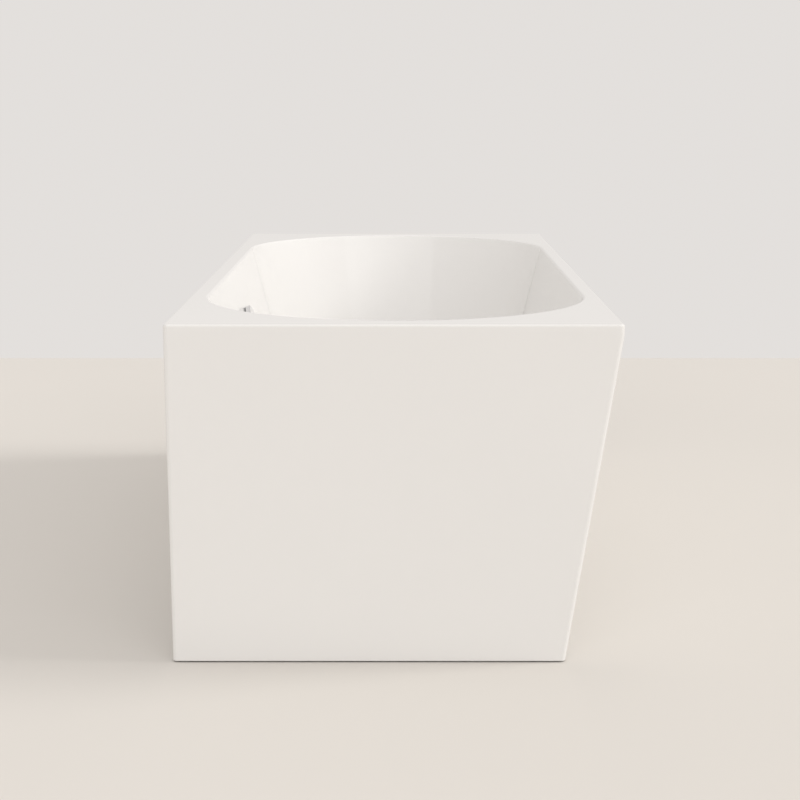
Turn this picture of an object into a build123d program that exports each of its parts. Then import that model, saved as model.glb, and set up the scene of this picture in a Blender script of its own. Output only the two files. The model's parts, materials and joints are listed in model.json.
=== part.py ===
"""A back-to-wall freestanding bathtub, as the separate pieces it comes apart into.

Frame: +Z up, Z 0 on the floor, origin under the middle of the deck. X runs across the tub, from the
upright back at -X to the sloping front at +X, and Y runs along it. All sizes are in millimetres.
"""

import os

from build123d import *

# ---- Driving dimensions -------------------------------------------------------------------------

LENGTH, WIDTH, HEIGHT = 1700, 750, 580
SHEET = 5  # the moulded acrylic, with its glass-fibre backing
UPRIGHT_CORNER_R = 8
DECK_EDGE_R = 3.5
FOOT_EDGE_R = 1.5

FRONT_TAPER = 85  # how far the front's foot stands in from its top
END_DRAFT = 20
FRONT_BAND = 13  # upright strip under the deck, before the front starts to slope
SKIRT_LOW = 2  # the skirt hangs clear of the floor, and the feet carry the load
GLUE_FLANGE = 12

BACK_RIM, FRONT_RIM, END_RIM = 32, 28, 50
OPENING_EDGE_R = 6
FLOOR_Z = 135  # top of the basin's floor
FLOOR_HALF_WIDTH, FLOOR_HALF_LENGTH = 222, 590
FLOOR_BLEND_R = 80

BOARD_T, BOARD_WIDTH, BOARD_LENGTH, BOARD_CUTOUT_R = 15, 310, 1040, 50

BATTEN_T, SKIRT_BATTEN_LOW, SKIRT_BATTEN_HIGH = 20, 60, 130
RIM_BATTEN_T, RIM_BATTEN_H, RIM_BATTEN_LONG_GAP, RIM_BATTEN_SHORT_GAP = 13, 22, 250, 60
RIM_BATTEN_GAP, BATTEN_END_GAP = 0.5, 10

RAIL_SIDE, RAIL_WALL, RAIL_END_GAP = 30, 2, 1
RAIL_Y = {"near": -480, "middle": 150, "far": 480}
BOARD_SCREW_R, BOARD_SCREW_TIP, BOARD_SCREW_HEAD_R, BOARD_SCREW_HEAD_H = 3, 126, 6.5, 4
BOARD_SCREW_DX = (-120, 90)  # from the basin's centre line
BRACKET_T, BRACKET_LEG, BRACKET_WIDTH = 3, 34, 74
BRACKET_SCREW_R, BRACKET_SCREW_L, BRACKET_SCREW_DY = 2.5, 18, (-27, 27)
PAN_HEAD_R, PAN_HEAD_H, PAN_HEAD_EDGE_R = 5, 2.5, 1.5

FOOT_SPREAD = 430  # between the two feet of one rail
PAD_R, PAD_H, PAD_EDGE_R = 28, 14, 1
SOCKET_R, SOCKET_LOW = 5, 6  # where the stud's pin turns in the pad
STUD_R, STUD_TOP, STUD_CHAMFER = 5.9, 101, 1
SPANNER_LOW, SPANNER_HIGH, SPANNER_FLATS = 16, 24, 17
NUT_FLATS, NUT_H = 19, 10
INSERT_R, INSERT_FLANGE_R, INSERT_FLANGE_H, INSERT_TOP = 8, 11, 1.5, 98

DRAIN_HOLE_R, DRAIN_TAIL_R, DRAIN_BORE_R, TAIL_LOW = 26, 25, 22.5, 96
DRAIN_FLANGE_R, DRAIN_FLANGE_T, DRAIN_FLANGE_EDGE_R, DRAIN_GASKET_T = 35, 3, 1.2, 1.5
SPIDER_LOW, SPIDER_HIGH, SPIDER_ARM_W, SPIDER_WALL, SPIDER_ARMS = 100, 108, 4, 4, 6
CARTRIDGE_R, CARTRIDGE_LOW, CARTRIDGE_TOP, CARTRIDGE_RIM = 8, 90, 118, 2
SPRING_ROOM_LOW, SPRING_ROOM_TOP, SPRING_WIRE, SPRING_TURNS = 92, 106, 0.5, 7
STEM_R, STEM_LOW, PLUG_SKIRT_GAP = 4, 104, 2.5
PLUG_R, PLUG_H, PLUG_EDGE_R, PLUG_SEAL_T, PLUG_SKIRT_WALL, PLUG_SKIRT_REACH = 32, 5, 4, 2, 2.5, 3
WASTE_FLANGE_R, WASTE_FLANGE_T, WASTE_GASKET_T = 38, 5, 5
WASTE_BODY_R, WASTE_BODY_LOW, WASTE_SEAT_Z = 30, 84, 88
NECK_R, NECK_LOW, DIP_R, DIP_WALL, DIP_LOW = 19, 62, 17, 2.5, 16
SPIGOT_Z, SPIGOT_REACH = 97, 62

TRAP_R, TRAP_LOW, TRAP_HIGH, TRAP_WALL, TRAP_EDGE_R = 48, 6, 74, 3, 5
COLLAR_R, COLLAR_TOP, TRAP_SEAL_TOP, TRAP_NUT_WALL, TRAP_NUT_FLUTES = 23, 78, 80, 6, 18
OUTLET_R, OUTLET_WALL, OUTLET_Z = 20, 2.5, 50
OUTLET_REACH, OUTLET_TAIL_START, OUTLET_DROP_Y = 78, 92, 150
OUTLET_BEND_R, OUTLET_END_Z = 22, 4
COUPLING_GRIP, COUPLING_WALL, COUPLING_FLUTES = 12, 7, 20

OVERFLOW_DEPTH = 115  # from the deck to the overflow's centre
OVERFLOW_HOLE_R = 26
# Heights below here are along the overflow's own axis, from the basin's inner wall into the basin.
COVER_R, COVER_LOW, COVER_FACE, COVER_HIGH, COVER_SHEET, COVER_EDGE_R = 35, 3, 10, 12.5, 2, 2.5
MOUTH_HALF_WIDTH, MOUTH_TOP = 24, -20
CLIP_WALL, CLIP_LOW = 2, 7
FACEPLATE_R, FACEPLATE_NECK_R, FACEPLATE_LOW = 32, 24.5, -7
WATER_HOLE_R, WATER_HOLE_CENTRES_R, WATER_HOLES = 5, 16, 8
SCREW_R, SCREW_TIP, SCREW_HEAD_R, SCREW_HEAD_H, SCREW_EDGE_R = 2.5, -22, 5, 3.2, 1
ELBOW_FLANGE_R, ELBOW_FLANGE_LOW, ELBOW_FLANGE_HIGH, OVERFLOW_GASKET_FACE = 36, -12, -7.5, -5.6
ELBOW_R, ELBOW_WALL, ELBOW_BACK, ELBOW_MID, ELBOW_SPIGOT = 29, 3, -40, -24.5, 58
POST_R, POST_FACE = 6, -7.2
PIPE_R, PIPE_WALL, PIPE_BEND_R, PIPE_GAP = 13, 2, 70, 0.5
PIPE_NUT_WALL, PIPE_NUT_HALF, PIPE_NUT_FLUTES = 3.5, 16, 14

FLUTE_R, FLUTE_DEPTH = 2, 1.2  # the grip flutes of every union nut
THREAD_GAP, SEAL_GAP, SCREW_GAP, SOCKET_GAP, NUT_GAP = 0.05, 0.1, 0.15, 0.2, 0.3

# ---- Worked out from those ----------------------------------------------------------------------

DECK_LOW = HEIGHT - SHEET
BAND_LOW = DECK_LOW - FRONT_BAND
BACK_X, FRONT_X = -WIDTH / 2, WIDTH / 2
OPENING_R = (WIDTH - BACK_RIM - FRONT_RIM) / 2
OPENING_HALF_LENGTH = LENGTH / 2 - END_RIM
BASIN_X = (BACK_RIM - FRONT_RIM) / 2
FRONT_SLOPE = FRONT_TAPER / BAND_LOW
SHELL_LOW = FLOOR_Z - SHEET
BOARD_LOW = SHELL_LOW - BOARD_T
RAIL_LOW = BOARD_LOW - RAIL_SIDE
WALL_SLOPE = (OPENING_R - FLOOR_HALF_WIDTH) / (HEIGHT - FLOOR_Z)
RAIL_MID_Z = RAIL_LOW + RAIL_SIDE / 2
RAIL_LOW_X = BACK_X + SHEET + BATTEN_T + RAIL_END_GAP
SKIRT_BATTEN_FRONT_X = FRONT_X - SHEET - FRONT_SLOPE * (BAND_LOW - SKIRT_BATTEN_LOW) - BATTEN_T
RAIL_HIGH_X = SKIRT_BATTEN_FRONT_X - RAIL_END_GAP
BOARD_SCREWS = [(BASIN_X + dx, y) for y in RAIL_Y.values() for dx in BOARD_SCREW_DX]
FOOT_CENTRE_X = -FRONT_TAPER / 2
FOOT_X = (FOOT_CENTRE_X - FOOT_SPREAD / 2, FOOT_CENTRE_X + FOOT_SPREAD / 2)
FEET = [(x, y) for y in RAIL_Y.values() for x in FOOT_X]
DRAIN = Pos(BASIN_X, 0, 0)
OUTLET = Pos(BASIN_X, 0, OUTLET_Z) * Rot(90, 0, 0)  # its local Z runs towards the near end

OVERFLOW_Z = HEIGHT - OVERFLOW_DEPTH
OVERFLOW_X = BASIN_X - OPENING_R + WALL_SLOPE * OVERFLOW_DEPTH
# Local frame on the basin's back wall: x along the tub, y up the wall, z out into the basin.
OVERFLOW = Plane(origin=(OVERFLOW_X, 0, OVERFLOW_Z), x_dir=(0, 1, 0), z_dir=(1, 0, WALL_SLOPE))
FACEPLATE_HIGH = COVER_LOW - SOCKET_GAP

DRAIN_FLANGE_LOW = FLOOR_Z + DRAIN_GASKET_T
DRAIN_FLANGE_HIGH = DRAIN_FLANGE_LOW + DRAIN_FLANGE_T
PLUG_LOW = DRAIN_FLANGE_HIGH + PLUG_SEAL_T
PLUG_SKIRT_R = DRAIN_BORE_R - PLUG_SKIRT_GAP
WASTE_GASKET_LOW = SHELL_LOW - WASTE_GASKET_T


# ---- Shapes that several pieces use -------------------------------------------------------------


def ring(outer_r, inner_r, low, high):
    """A washer or sleeve about Z, between two heights."""
    height = high - low
    middle = Pos(0, 0, (low + high) / 2)
    return middle * (Cylinder(outer_r, height) - Cylinder(inner_r, height))


def rod(radius, low, high):
    """A round bar about Z, between two heights."""
    return Pos(0, 0, (low + high) / 2) * Cylinder(radius, high - low)


def block(low_corner, high_corner):
    """A box between two opposite corners."""
    size = [high - low for low, high in zip(low_corner, high_corner)]
    middle = [(high + low) / 2 for low, high in zip(low_corner, high_corner)]
    return Pos(*middle) * Box(*size)


def obround(half_width, half_length, z):
    """The basin's plan outline at one height: straight sides and half-round ends."""
    return Pos(BASIN_X, 0, z) * SlotOverall(2 * half_length, 2 * half_width, rotation=90)


def basin_body(margin, low, blend_r):
    """The basin as a solid block: its inner form with no margin, or the form around its shell."""
    top = obround(OPENING_R + margin, OPENING_HALF_LENGTH + margin, HEIGHT)
    floor = obround(FLOOR_HALF_WIDTH + margin, FLOOR_HALF_LENGTH + margin, low)
    body = loft([top, floor], ruled=True)
    return fillet(body.faces().sort_by(Axis.Z)[0].edges(), blend_r)


def skirt_outline(z, inset):
    """The skirt's plan outline at one height, or its inner face's when inset by the sheet."""
    share = 1 - min(z, BAND_LOW) / BAND_LOW
    back = BACK_X + inset
    front = FRONT_X - FRONT_TAPER * share - inset
    half_length = LENGTH / 2 - END_DRAFT * share - inset
    corner_r = UPRIGHT_CORNER_R - inset
    outline = RectangleRounded(front - back, 2 * half_length, corner_r)
    return Pos((front + back) / 2, 0, z) * outline


def skirt_body(inset):
    """The skirt as a solid block: the sloping part and the upright band above it."""
    sloping = loft([skirt_outline(SKIRT_LOW, inset), skirt_outline(BAND_LOW, inset)], ruled=True)
    band = extrude(skirt_outline(BAND_LOW, inset), FRONT_BAND)
    return sloping + band


def hexagon_bar(across_flats, low, high):
    """A hexagonal bar about Z, between two heights."""
    outline = RegularPolygon(across_flats / 2, 6, major_radius=False)
    return Pos(0, 0, low) * extrude(outline, high - low)


def fluted_ring(outer_r, inner_r, low, high, flutes):
    """A hand-tightened union nut: a sleeve with grip flutes round it."""
    flute = Pos(outer_r + FLUTE_R - FLUTE_DEPTH, 0, 0) * rod(FLUTE_R, low, high)
    cuts = [Rot(0, 0, 360 * k / flutes) * flute for k in range(flutes)]
    return ring(outer_r, inner_r, low, high) - cuts


# ---- Shells -------------------------------------------------------------------------------------


def basin_shell():
    """The bathing well and its flat deck, one moulding, with the waste and overflow holes."""
    deck = Pos(0, 0, DECK_LOW) * extrude(RectangleRounded(WIDTH, LENGTH, UPRIGHT_CORNER_R), SHEET)
    deck = fillet(deck.faces().sort_by(Axis.Z)[-1].edges(), DECK_EDGE_R)
    inside = basin_body(0, FLOOR_Z, FLOOR_BLEND_R)
    shell = deck + basin_body(SHEET, SHELL_LOW, FLOOR_BLEND_R + SHEET) - inside
    top = shell.faces().filter_by(Axis.Z).sort_by(Axis.Z)[-1]
    shell = fillet(top.inner_wires()[0].edges(), OPENING_EDGE_R)
    waste_hole = DRAIN * rod(DRAIN_HOLE_R, SHELL_LOW - 1, FLOOR_Z + 1)
    overflow_hole = OVERFLOW * rod(OVERFLOW_HOLE_R, -3 * SHEET, SHEET)
    return shell - waste_hole - overflow_hole


def outer_skirt():
    """The four-sided outer shell, open below, with a flange that is glued under the deck."""
    outer = skirt_body(0)
    outer = fillet(outer.faces().sort_by(Axis.Z)[0].edges(), FOOT_EDGE_R)
    inner = skirt_body(SHEET)
    cavity_top = DECK_LOW - SHEET
    cavity = inner & block((-LENGTH, -LENGTH, 0), (LENGTH, LENGTH, cavity_top))
    flange = SHEET + GLUE_FLANGE
    mouth = RectangleRounded(WIDTH - 2 * flange, LENGTH - 2 * flange, 2 * UPRIGHT_CORNER_R)
    return outer - cavity - Pos(0, 0, cavity_top) * extrude(mouth, SHEET)


def base_board():
    """The flat board bonded under the basin's floor, which the rails are screwed to."""
    outline = SlotOverall(BOARD_LENGTH, BOARD_WIDTH, rotation=90)
    board = Pos(BASIN_X, 0, BOARD_LOW) * extrude(outline, BOARD_T)
    pilot = rod(BOARD_SCREW_R, BOARD_LOW - 1, BOARD_SCREW_TIP + 0.5)
    holes = [Pos(x, y, 0) * pilot for x, y in BOARD_SCREWS]
    return board - DRAIN * rod(BOARD_CUTOUT_R, BOARD_LOW - 1, SHELL_LOW + 1) - holes


# ---- Timber inside the shells -------------------------------------------------------------------


def rim_battens():
    """The strips that stiffen the deck's edge from below."""
    high = DECK_LOW - SHEET
    low = high - RIM_BATTEN_H
    long_half = LENGTH / 2 - RIM_BATTEN_LONG_GAP
    short_half = WIDTH / 2 - RIM_BATTEN_SHORT_GAP
    back = BACK_X + SHEET
    front = FRONT_X - SHEET - FRONT_SLOPE * (BAND_LOW - low) - RIM_BATTEN_GAP
    end = LENGTH / 2 - SHEET - 2 * RIM_BATTEN_GAP
    return {
        "rim_batten_back": block((back, -long_half, low), (back + RIM_BATTEN_T, long_half, high)),
        "rim_batten_front": block((front - RIM_BATTEN_T, -long_half, low), (front, long_half, high)),
        "rim_batten_near": block((-short_half, -end, low), (short_half, RIM_BATTEN_T - end, high)),
        "rim_batten_far": block((-short_half, end - RIM_BATTEN_T, low), (short_half, end, high)),
    }


def skirt_battens():
    """The strips round the skirt's foot. Their outer faces follow its inner face."""
    inside = skirt_body(SHEET)
    low, high = SKIRT_BATTEN_LOW, SKIRT_BATTEN_HIGH
    back = BACK_X + SHEET
    front = SKIRT_BATTEN_FRONT_X
    long_half = LENGTH / 2 - END_DRAFT - SHEET - BATTEN_T - BATTEN_END_GAP
    end = LENGTH / 2 - END_DRAFT - SHEET - BATTEN_T
    strips = {
        "skirt_batten_back": block((back, -long_half, low), (back + BATTEN_T, long_half, high)),
        "skirt_batten_front": block((front, -long_half, low), (FRONT_X, long_half, high)) & inside,
        "skirt_batten_near": block((back + BATTEN_END_GAP, -LENGTH, low), (front, -end, high)) & inside,
        "skirt_batten_far": block((back + BATTEN_END_GAP, end, low), (front, LENGTH, high)) & inside,
    }
    pilot = Rot(0, 90, 0) * rod(BRACKET_SCREW_R, -0.5, BRACKET_SCREW_L - BRACKET_T + 0.5)
    for side, x, turn in rail_ends():
        holes = [
            Pos(x, y + dy, RAIL_MID_Z) * Rot(0, 0, turn) * pilot
            for y in RAIL_Y.values()
            for dy in BRACKET_SCREW_DY
        ]
        strips[f"skirt_batten_{side}"] -= holes
    return strips


# ---- Rails and what fastens them ----------------------------------------------------------------


def rail_ends():
    """Each end of the rails: the batten it meets, the batten's face, and which way that face looks."""
    return (("back", RAIL_LOW_X - RAIL_END_GAP, 180), ("front", RAIL_HIGH_X + RAIL_END_GAP, 0))


def cross_rail(y):
    """A square steel tube across the tub, bored for its two feet and the board screws."""
    tube = block(
        (RAIL_LOW_X, y - RAIL_SIDE / 2, RAIL_LOW), (RAIL_HIGH_X, y + RAIL_SIDE / 2, BOARD_LOW)
    )
    tube = fillet(tube.edges().filter_by(Axis.X), RAIL_WALL)
    core = RAIL_SIDE / 2 - RAIL_WALL
    tube -= block(
        (RAIL_LOW_X - 1, y - core, RAIL_MID_Z - core), (RAIL_HIGH_X + 1, y + core, RAIL_MID_Z + core)
    )
    for x in FOOT_X:
        tube -= Pos(x, y, 0) * rod(INSERT_R + SCREW_GAP, RAIL_LOW - 1, RAIL_LOW + RAIL_WALL + 1)
    for x, screw_y in BOARD_SCREWS:
        if screw_y == y:
            tube -= Pos(x, y, 0) * rod(BOARD_SCREW_R + SCREW_GAP, RAIL_LOW - 1, BOARD_LOW + 1)
    return tube


def board_screws():
    """Hexagon-headed screws, up through the rails into the board."""
    head = hexagon_bar(2 * BOARD_SCREW_HEAD_R - 2, RAIL_LOW - BOARD_SCREW_HEAD_H, RAIL_LOW)
    washer = rod(BOARD_SCREW_HEAD_R, RAIL_LOW - BOARD_SCREW_HEAD_H / 3, RAIL_LOW)
    screw = head + washer + rod(BOARD_SCREW_R, RAIL_LOW, BOARD_SCREW_TIP)
    return [Pos(x, y, 0) * screw for x, y in BOARD_SCREWS]


def rail_brackets():
    """Angle brackets under the rails' ends, each with one leg on a skirt batten."""
    brackets = []
    for _, x, turn in rail_ends():
        upright = block(
            (-BRACKET_T, -BRACKET_WIDTH / 2, RAIL_LOW - BRACKET_T), (0, BRACKET_WIDTH / 2, BOARD_LOW)
        )
        slot = block(
            (-BRACKET_T - 1, -RAIL_SIDE / 2 - 1, RAIL_LOW), (1, RAIL_SIDE / 2 + 1, BOARD_LOW + 1)
        )
        shelf = block(
            (-BRACKET_LEG, -RAIL_SIDE / 2, RAIL_LOW - BRACKET_T), (0, RAIL_SIDE / 2, RAIL_LOW)
        )
        bracket = upright - slot + shelf
        bore = Rot(0, 90, 0) * rod(BRACKET_SCREW_R + SCREW_GAP, -BRACKET_T - 1, 1)
        bracket -= [Pos(0, dy, RAIL_MID_Z) * bore for dy in BRACKET_SCREW_DY]
        brackets += [Pos(x, y, 0) * Rot(0, 0, turn) * bracket for y in RAIL_Y.values()]
    return brackets


def bracket_screws():
    """Pan-headed screws through the brackets into the skirt battens."""
    head = rod(PAN_HEAD_R, -BRACKET_T - PAN_HEAD_H, -BRACKET_T)
    head = fillet(head.edges().sort_by(Axis.Z)[0], PAN_HEAD_EDGE_R)
    screw = Rot(0, 90, 0) * (head + rod(BRACKET_SCREW_R, -BRACKET_T, BRACKET_SCREW_L - BRACKET_T))
    return [
        Pos(x, y + dy, RAIL_MID_Z) * Rot(0, 0, turn) * screw
        for _, x, turn in rail_ends()
        for y in RAIL_Y.values()
        for dy in BRACKET_SCREW_DY
    ]


# ---- Levelling feet -----------------------------------------------------------------------------


def foot_pad(x, y):
    """The pad that stands on the floor, with a socket that the stud turns in."""
    pad = Pos(0, 0, PAD_H / 2) * Cone(PAD_R, PAD_R / 2, PAD_H)
    pad = fillet(pad.edges().sort_by(Axis.Z)[0], PAD_EDGE_R)
    return Pos(x, y, 0) * (pad - rod(SOCKET_R + THREAD_GAP, SOCKET_LOW, PAD_H + 1))


def foot_stud(x, y):
    """The threaded stud: a plain pin below, a spanner collar, and the shank up into the rail."""
    pin = rod(SOCKET_R, SOCKET_LOW + THREAD_GAP, SPANNER_LOW)
    collar = hexagon_bar(SPANNER_FLATS, SPANNER_LOW, SPANNER_HIGH)
    shank = rod(STUD_R, SPANNER_HIGH, STUD_TOP)
    shank = chamfer(shank.edges().sort_by(Axis.Z)[-1], STUD_CHAMFER)
    return Pos(x, y, 0) * (pin + collar + shank)


def thread_inserts():
    """Rivet nuts in the rails' lower walls, one for each foot."""
    low = RAIL_LOW - INSERT_FLANGE_H
    insert = rod(INSERT_FLANGE_R, low, RAIL_LOW) + rod(INSERT_R, RAIL_LOW, INSERT_TOP)
    insert -= rod(STUD_R + THREAD_GAP, low - 1, INSERT_TOP + 1)
    return [Pos(x, y, 0) * insert for x, y in FEET]


def lock_nuts():
    """The nuts that lock each stud against its insert."""
    high = RAIL_LOW - INSERT_FLANGE_H
    nut = hexagon_bar(NUT_FLATS, high - NUT_H, high)
    nut -= rod(STUD_R + THREAD_GAP, high - NUT_H - 1, high + 1)
    return [Pos(x, y, 0) * nut for x, y in FEET]


# ---- Waste --------------------------------------------------------------------------------------


def drain_gasket():
    """The ring between the drain flange and the basin's floor."""
    return DRAIN * ring(DRAIN_FLANGE_R - 1, DRAIN_HOLE_R + 1, FLOOR_Z, DRAIN_FLANGE_LOW)


def drain_flange():
    """The strainer: a dished flange, its threaded tail, and a spider that holds the cartridge."""
    rim = ring(DRAIN_FLANGE_R, DRAIN_BORE_R, DRAIN_FLANGE_LOW, DRAIN_FLANGE_HIGH)
    rim = fillet(rim.edges().filter_by(GeomType.CIRCLE).sort_by(Axis.Z)[-2:], DRAIN_FLANGE_EDGE_R)
    tail = ring(DRAIN_TAIL_R, DRAIN_BORE_R, TAIL_LOW, DRAIN_FLANGE_LOW)
    boss = rod(CARTRIDGE_R + SPIDER_WALL, SPIDER_LOW, SPIDER_HIGH)
    reach = (DRAIN_BORE_R + DRAIN_TAIL_R) / 2
    arm = block((0, -SPIDER_ARM_W / 2, SPIDER_LOW), (reach, SPIDER_ARM_W / 2, SPIDER_HIGH))
    arms = [Rot(0, 0, 360 * k / SPIDER_ARMS) * arm for k in range(SPIDER_ARMS)]
    spider = boss + arms
    return DRAIN * (rim + tail + spider - rod(CARTRIDGE_R, SPIDER_LOW - 1, SPIDER_HIGH + 1))


def drain_cartridge():
    """The press-and-release sleeve that guides the plug's stem."""
    sleeve = rod(CARTRIDGE_R, SPIDER_LOW, SPIDER_HIGH)
    sleeve += rod(CARTRIDGE_R + CARTRIDGE_RIM, SPIDER_HIGH, CARTRIDGE_TOP)
    sleeve += rod(CARTRIDGE_R - 1, CARTRIDGE_LOW, SPIDER_LOW)
    spring_room = rod(STEM_R + 2, SPRING_ROOM_LOW, SPRING_ROOM_TOP)
    guide = rod(STEM_R + THREAD_GAP, SPRING_ROOM_TOP, CARTRIDGE_TOP)
    return DRAIN * (sleeve - spring_room - guide)


def drain_plug():
    """The domed plug and its stem."""
    dome = rod(PLUG_R, PLUG_LOW, PLUG_LOW + PLUG_H)
    dome = fillet(dome.edges().sort_by(Axis.Z)[-1], PLUG_EDGE_R)
    skirt = ring(PLUG_SKIRT_R, PLUG_SKIRT_R - PLUG_SKIRT_WALL, DRAIN_FLANGE_LOW - PLUG_SKIRT_REACH, PLUG_LOW)
    stem = rod(STEM_R, STEM_LOW, PLUG_LOW)
    return DRAIN * (dome + skirt + stem)


def plug_seal():
    """The rubber ring under the plug that closes on the flange."""
    return DRAIN * ring(DRAIN_BORE_R + 4, PLUG_SKIRT_R, DRAIN_FLANGE_HIGH, PLUG_LOW)


def plug_spring():
    """The coil under the stem that lifts the plug."""
    low, high = SPRING_ROOM_LOW + SPRING_WIRE, STEM_LOW - SPRING_WIRE
    wire_path = Pos(0, 0, low) * Helix((high - low) / SPRING_TURNS, high - low, STEM_R)
    section = Plane(origin=wire_path @ 0, z_dir=wire_path % 0) * Circle(SPRING_WIRE)
    return DRAIN * sweep(section, path=wire_path, is_frenet=True)


def waste_gasket():
    """The thick rubber ring under the basin's floor."""
    return DRAIN * ring(WASTE_FLANGE_R - 2, DRAIN_HOLE_R + 0.5, WASTE_GASKET_LOW, SHELL_LOW)


def waste_body():
    """The body that the drain's tail screws into, with the overflow's inlet and the trap's dip tube."""
    flange = rod(WASTE_FLANGE_R, WASTE_GASKET_LOW - WASTE_FLANGE_T, WASTE_GASKET_LOW)
    barrel = rod(WASTE_BODY_R, WASTE_BODY_LOW, WASTE_GASKET_LOW)
    neck = rod(NECK_R, NECK_LOW, WASTE_BODY_LOW) + rod(DIP_R, DIP_LOW, NECK_LOW)
    to_overflow = Pos(0, 0, SPIGOT_Z) * Rot(0, -90, 0)
    body = flange + barrel + neck + to_overflow * rod(PIPE_R, 0, SPIGOT_REACH)
    body -= to_overflow * rod(PIPE_R - PIPE_WALL, 0, SPIGOT_REACH + 1)
    body -= rod(DRAIN_TAIL_R + SEAL_GAP, WASTE_SEAT_Z, WASTE_GASKET_LOW + 1)
    return DRAIN * (body - rod(DIP_R - DIP_WALL, DIP_LOW - 1, TAIL_LOW))


def trap_housing():
    """The water trap's cup, with a collar on top and its outlet at the side."""
    cup = rod(TRAP_R, TRAP_LOW, TRAP_HIGH)
    cup = fillet(cup.edges(), TRAP_EDGE_R)
    cup = DRAIN * (cup + rod(COLLAR_R, TRAP_HIGH, COLLAR_TOP)) + OUTLET * rod(OUTLET_R, 0, OUTLET_REACH)
    water = rod(TRAP_R - TRAP_WALL, TRAP_LOW + TRAP_WALL, TRAP_HIGH - TRAP_WALL)
    water = fillet(water.edges(), TRAP_EDGE_R - TRAP_WALL + 1)
    mouth = rod(NECK_R + SOCKET_GAP, TRAP_HIGH - TRAP_WALL - 1, COLLAR_TOP + 1)
    return cup - DRAIN * (water + mouth) - OUTLET * rod(OUTLET_R - OUTLET_WALL, 0, OUTLET_REACH + 1)


def trap_seal():
    """The ring between the trap's collar and the waste body's neck."""
    return DRAIN * ring(COLLAR_R, NECK_R + SEAL_GAP, COLLAR_TOP, TRAP_SEAL_TOP)


def trap_nut():
    """The union nut that holds the trap up."""
    low, high = TRAP_HIGH + NUT_GAP, WASTE_BODY_LOW - NUT_GAP
    nut = fluted_ring(COLLAR_R + TRAP_NUT_WALL, NECK_R + SOCKET_GAP, low, high, TRAP_NUT_FLUTES)
    return DRAIN * (nut - rod(COLLAR_R + SOCKET_GAP, low - 1, TRAP_SEAL_TOP))


def outlet_tail():
    """The elbow that turns down to the floor and ends in a spigot for the drain's socket."""
    start = Vector(BASIN_X, -OUTLET_TAIL_START, OUTLET_Z)
    corner = Vector(BASIN_X, -OUTLET_DROP_Y, OUTLET_Z)
    end = Vector(BASIN_X, -OUTLET_DROP_Y, OUTLET_END_Z)
    route = FilletPolyline(start, corner, end, radius=OUTLET_BEND_R)
    face = Plane(origin=start, z_dir=route % 0)
    return sweep(face * (Circle(OUTLET_R) - Circle(OUTLET_R - OUTLET_WALL)), path=route)


def outlet_coupling():
    """The union nut between the trap's outlet and the elbow, with its seal ring."""
    low, high = OUTLET_REACH - COUPLING_GRIP, OUTLET_TAIL_START + COUPLING_GRIP
    outer_r = OUTLET_R + COUPLING_WALL
    sleeve = fluted_ring(outer_r, OUTLET_R + SOCKET_GAP, low, high, COUPLING_FLUTES)
    seal_low, seal_high = OUTLET_REACH + SOCKET_GAP, OUTLET_TAIL_START - SOCKET_GAP
    seal = ring(OUTLET_R + 1, OUTLET_R - OUTLET_WALL, seal_low, seal_high)
    return OUTLET * (sleeve + seal)


# ---- Overflow -----------------------------------------------------------------------------------


def overflow_cover():
    """The round cap, open along its lower edge where the water goes in."""
    cap = rod(COVER_R, COVER_LOW, COVER_HIGH)
    cap = fillet(cap.edges().sort_by(Axis.Z)[-1], COVER_EDGE_R)
    cap -= rod(COVER_R - COVER_SHEET, COVER_LOW - 1, COVER_FACE)
    mouth = block(
        (-MOUTH_HALF_WIDTH, -COVER_R - 1, COVER_LOW - 1),
        (MOUTH_HALF_WIDTH, MOUTH_TOP, COVER_FACE - COVER_SHEET),
    )
    clip = ring(POST_R + CLIP_WALL, POST_R, CLIP_LOW, COVER_FACE)
    return OVERFLOW * (cap - mouth + clip)


def overflow_faceplate():
    """The plate that clamps the wall, with the water holes round its screw."""
    plate = rod(FACEPLATE_R, NUT_GAP, FACEPLATE_HIGH)
    plate += rod(FACEPLATE_NECK_R, FACEPLATE_LOW, NUT_GAP)
    water = Pos(WATER_HOLE_CENTRES_R, 0, 0) * rod(WATER_HOLE_R, FACEPLATE_LOW - 1, COVER_LOW)
    plate -= [Rot(0, 0, 360 * k / WATER_HOLES) * water for k in range(WATER_HOLES)]
    return OVERFLOW * (plate - rod(SCREW_R + SEAL_GAP, FACEPLATE_LOW - 1, COVER_LOW + 1))


def overflow_screw():
    """The screw from the faceplate into the elbow's post."""
    head = rod(SCREW_HEAD_R, FACEPLATE_HIGH, FACEPLATE_HIGH + SCREW_HEAD_H)
    head = fillet(head.edges().sort_by(Axis.Z)[-1], SCREW_EDGE_R)
    return OVERFLOW * (head + rod(SCREW_R, SCREW_TIP, FACEPLATE_HIGH))


def overflow_gasket():
    """The ring between the basin's wall and the elbow."""
    return OVERFLOW * ring(
        ELBOW_FLANGE_R - 1, OVERFLOW_HOLE_R + 0.5, ELBOW_FLANGE_HIGH, OVERFLOW_GASKET_FACE
    )


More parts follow.
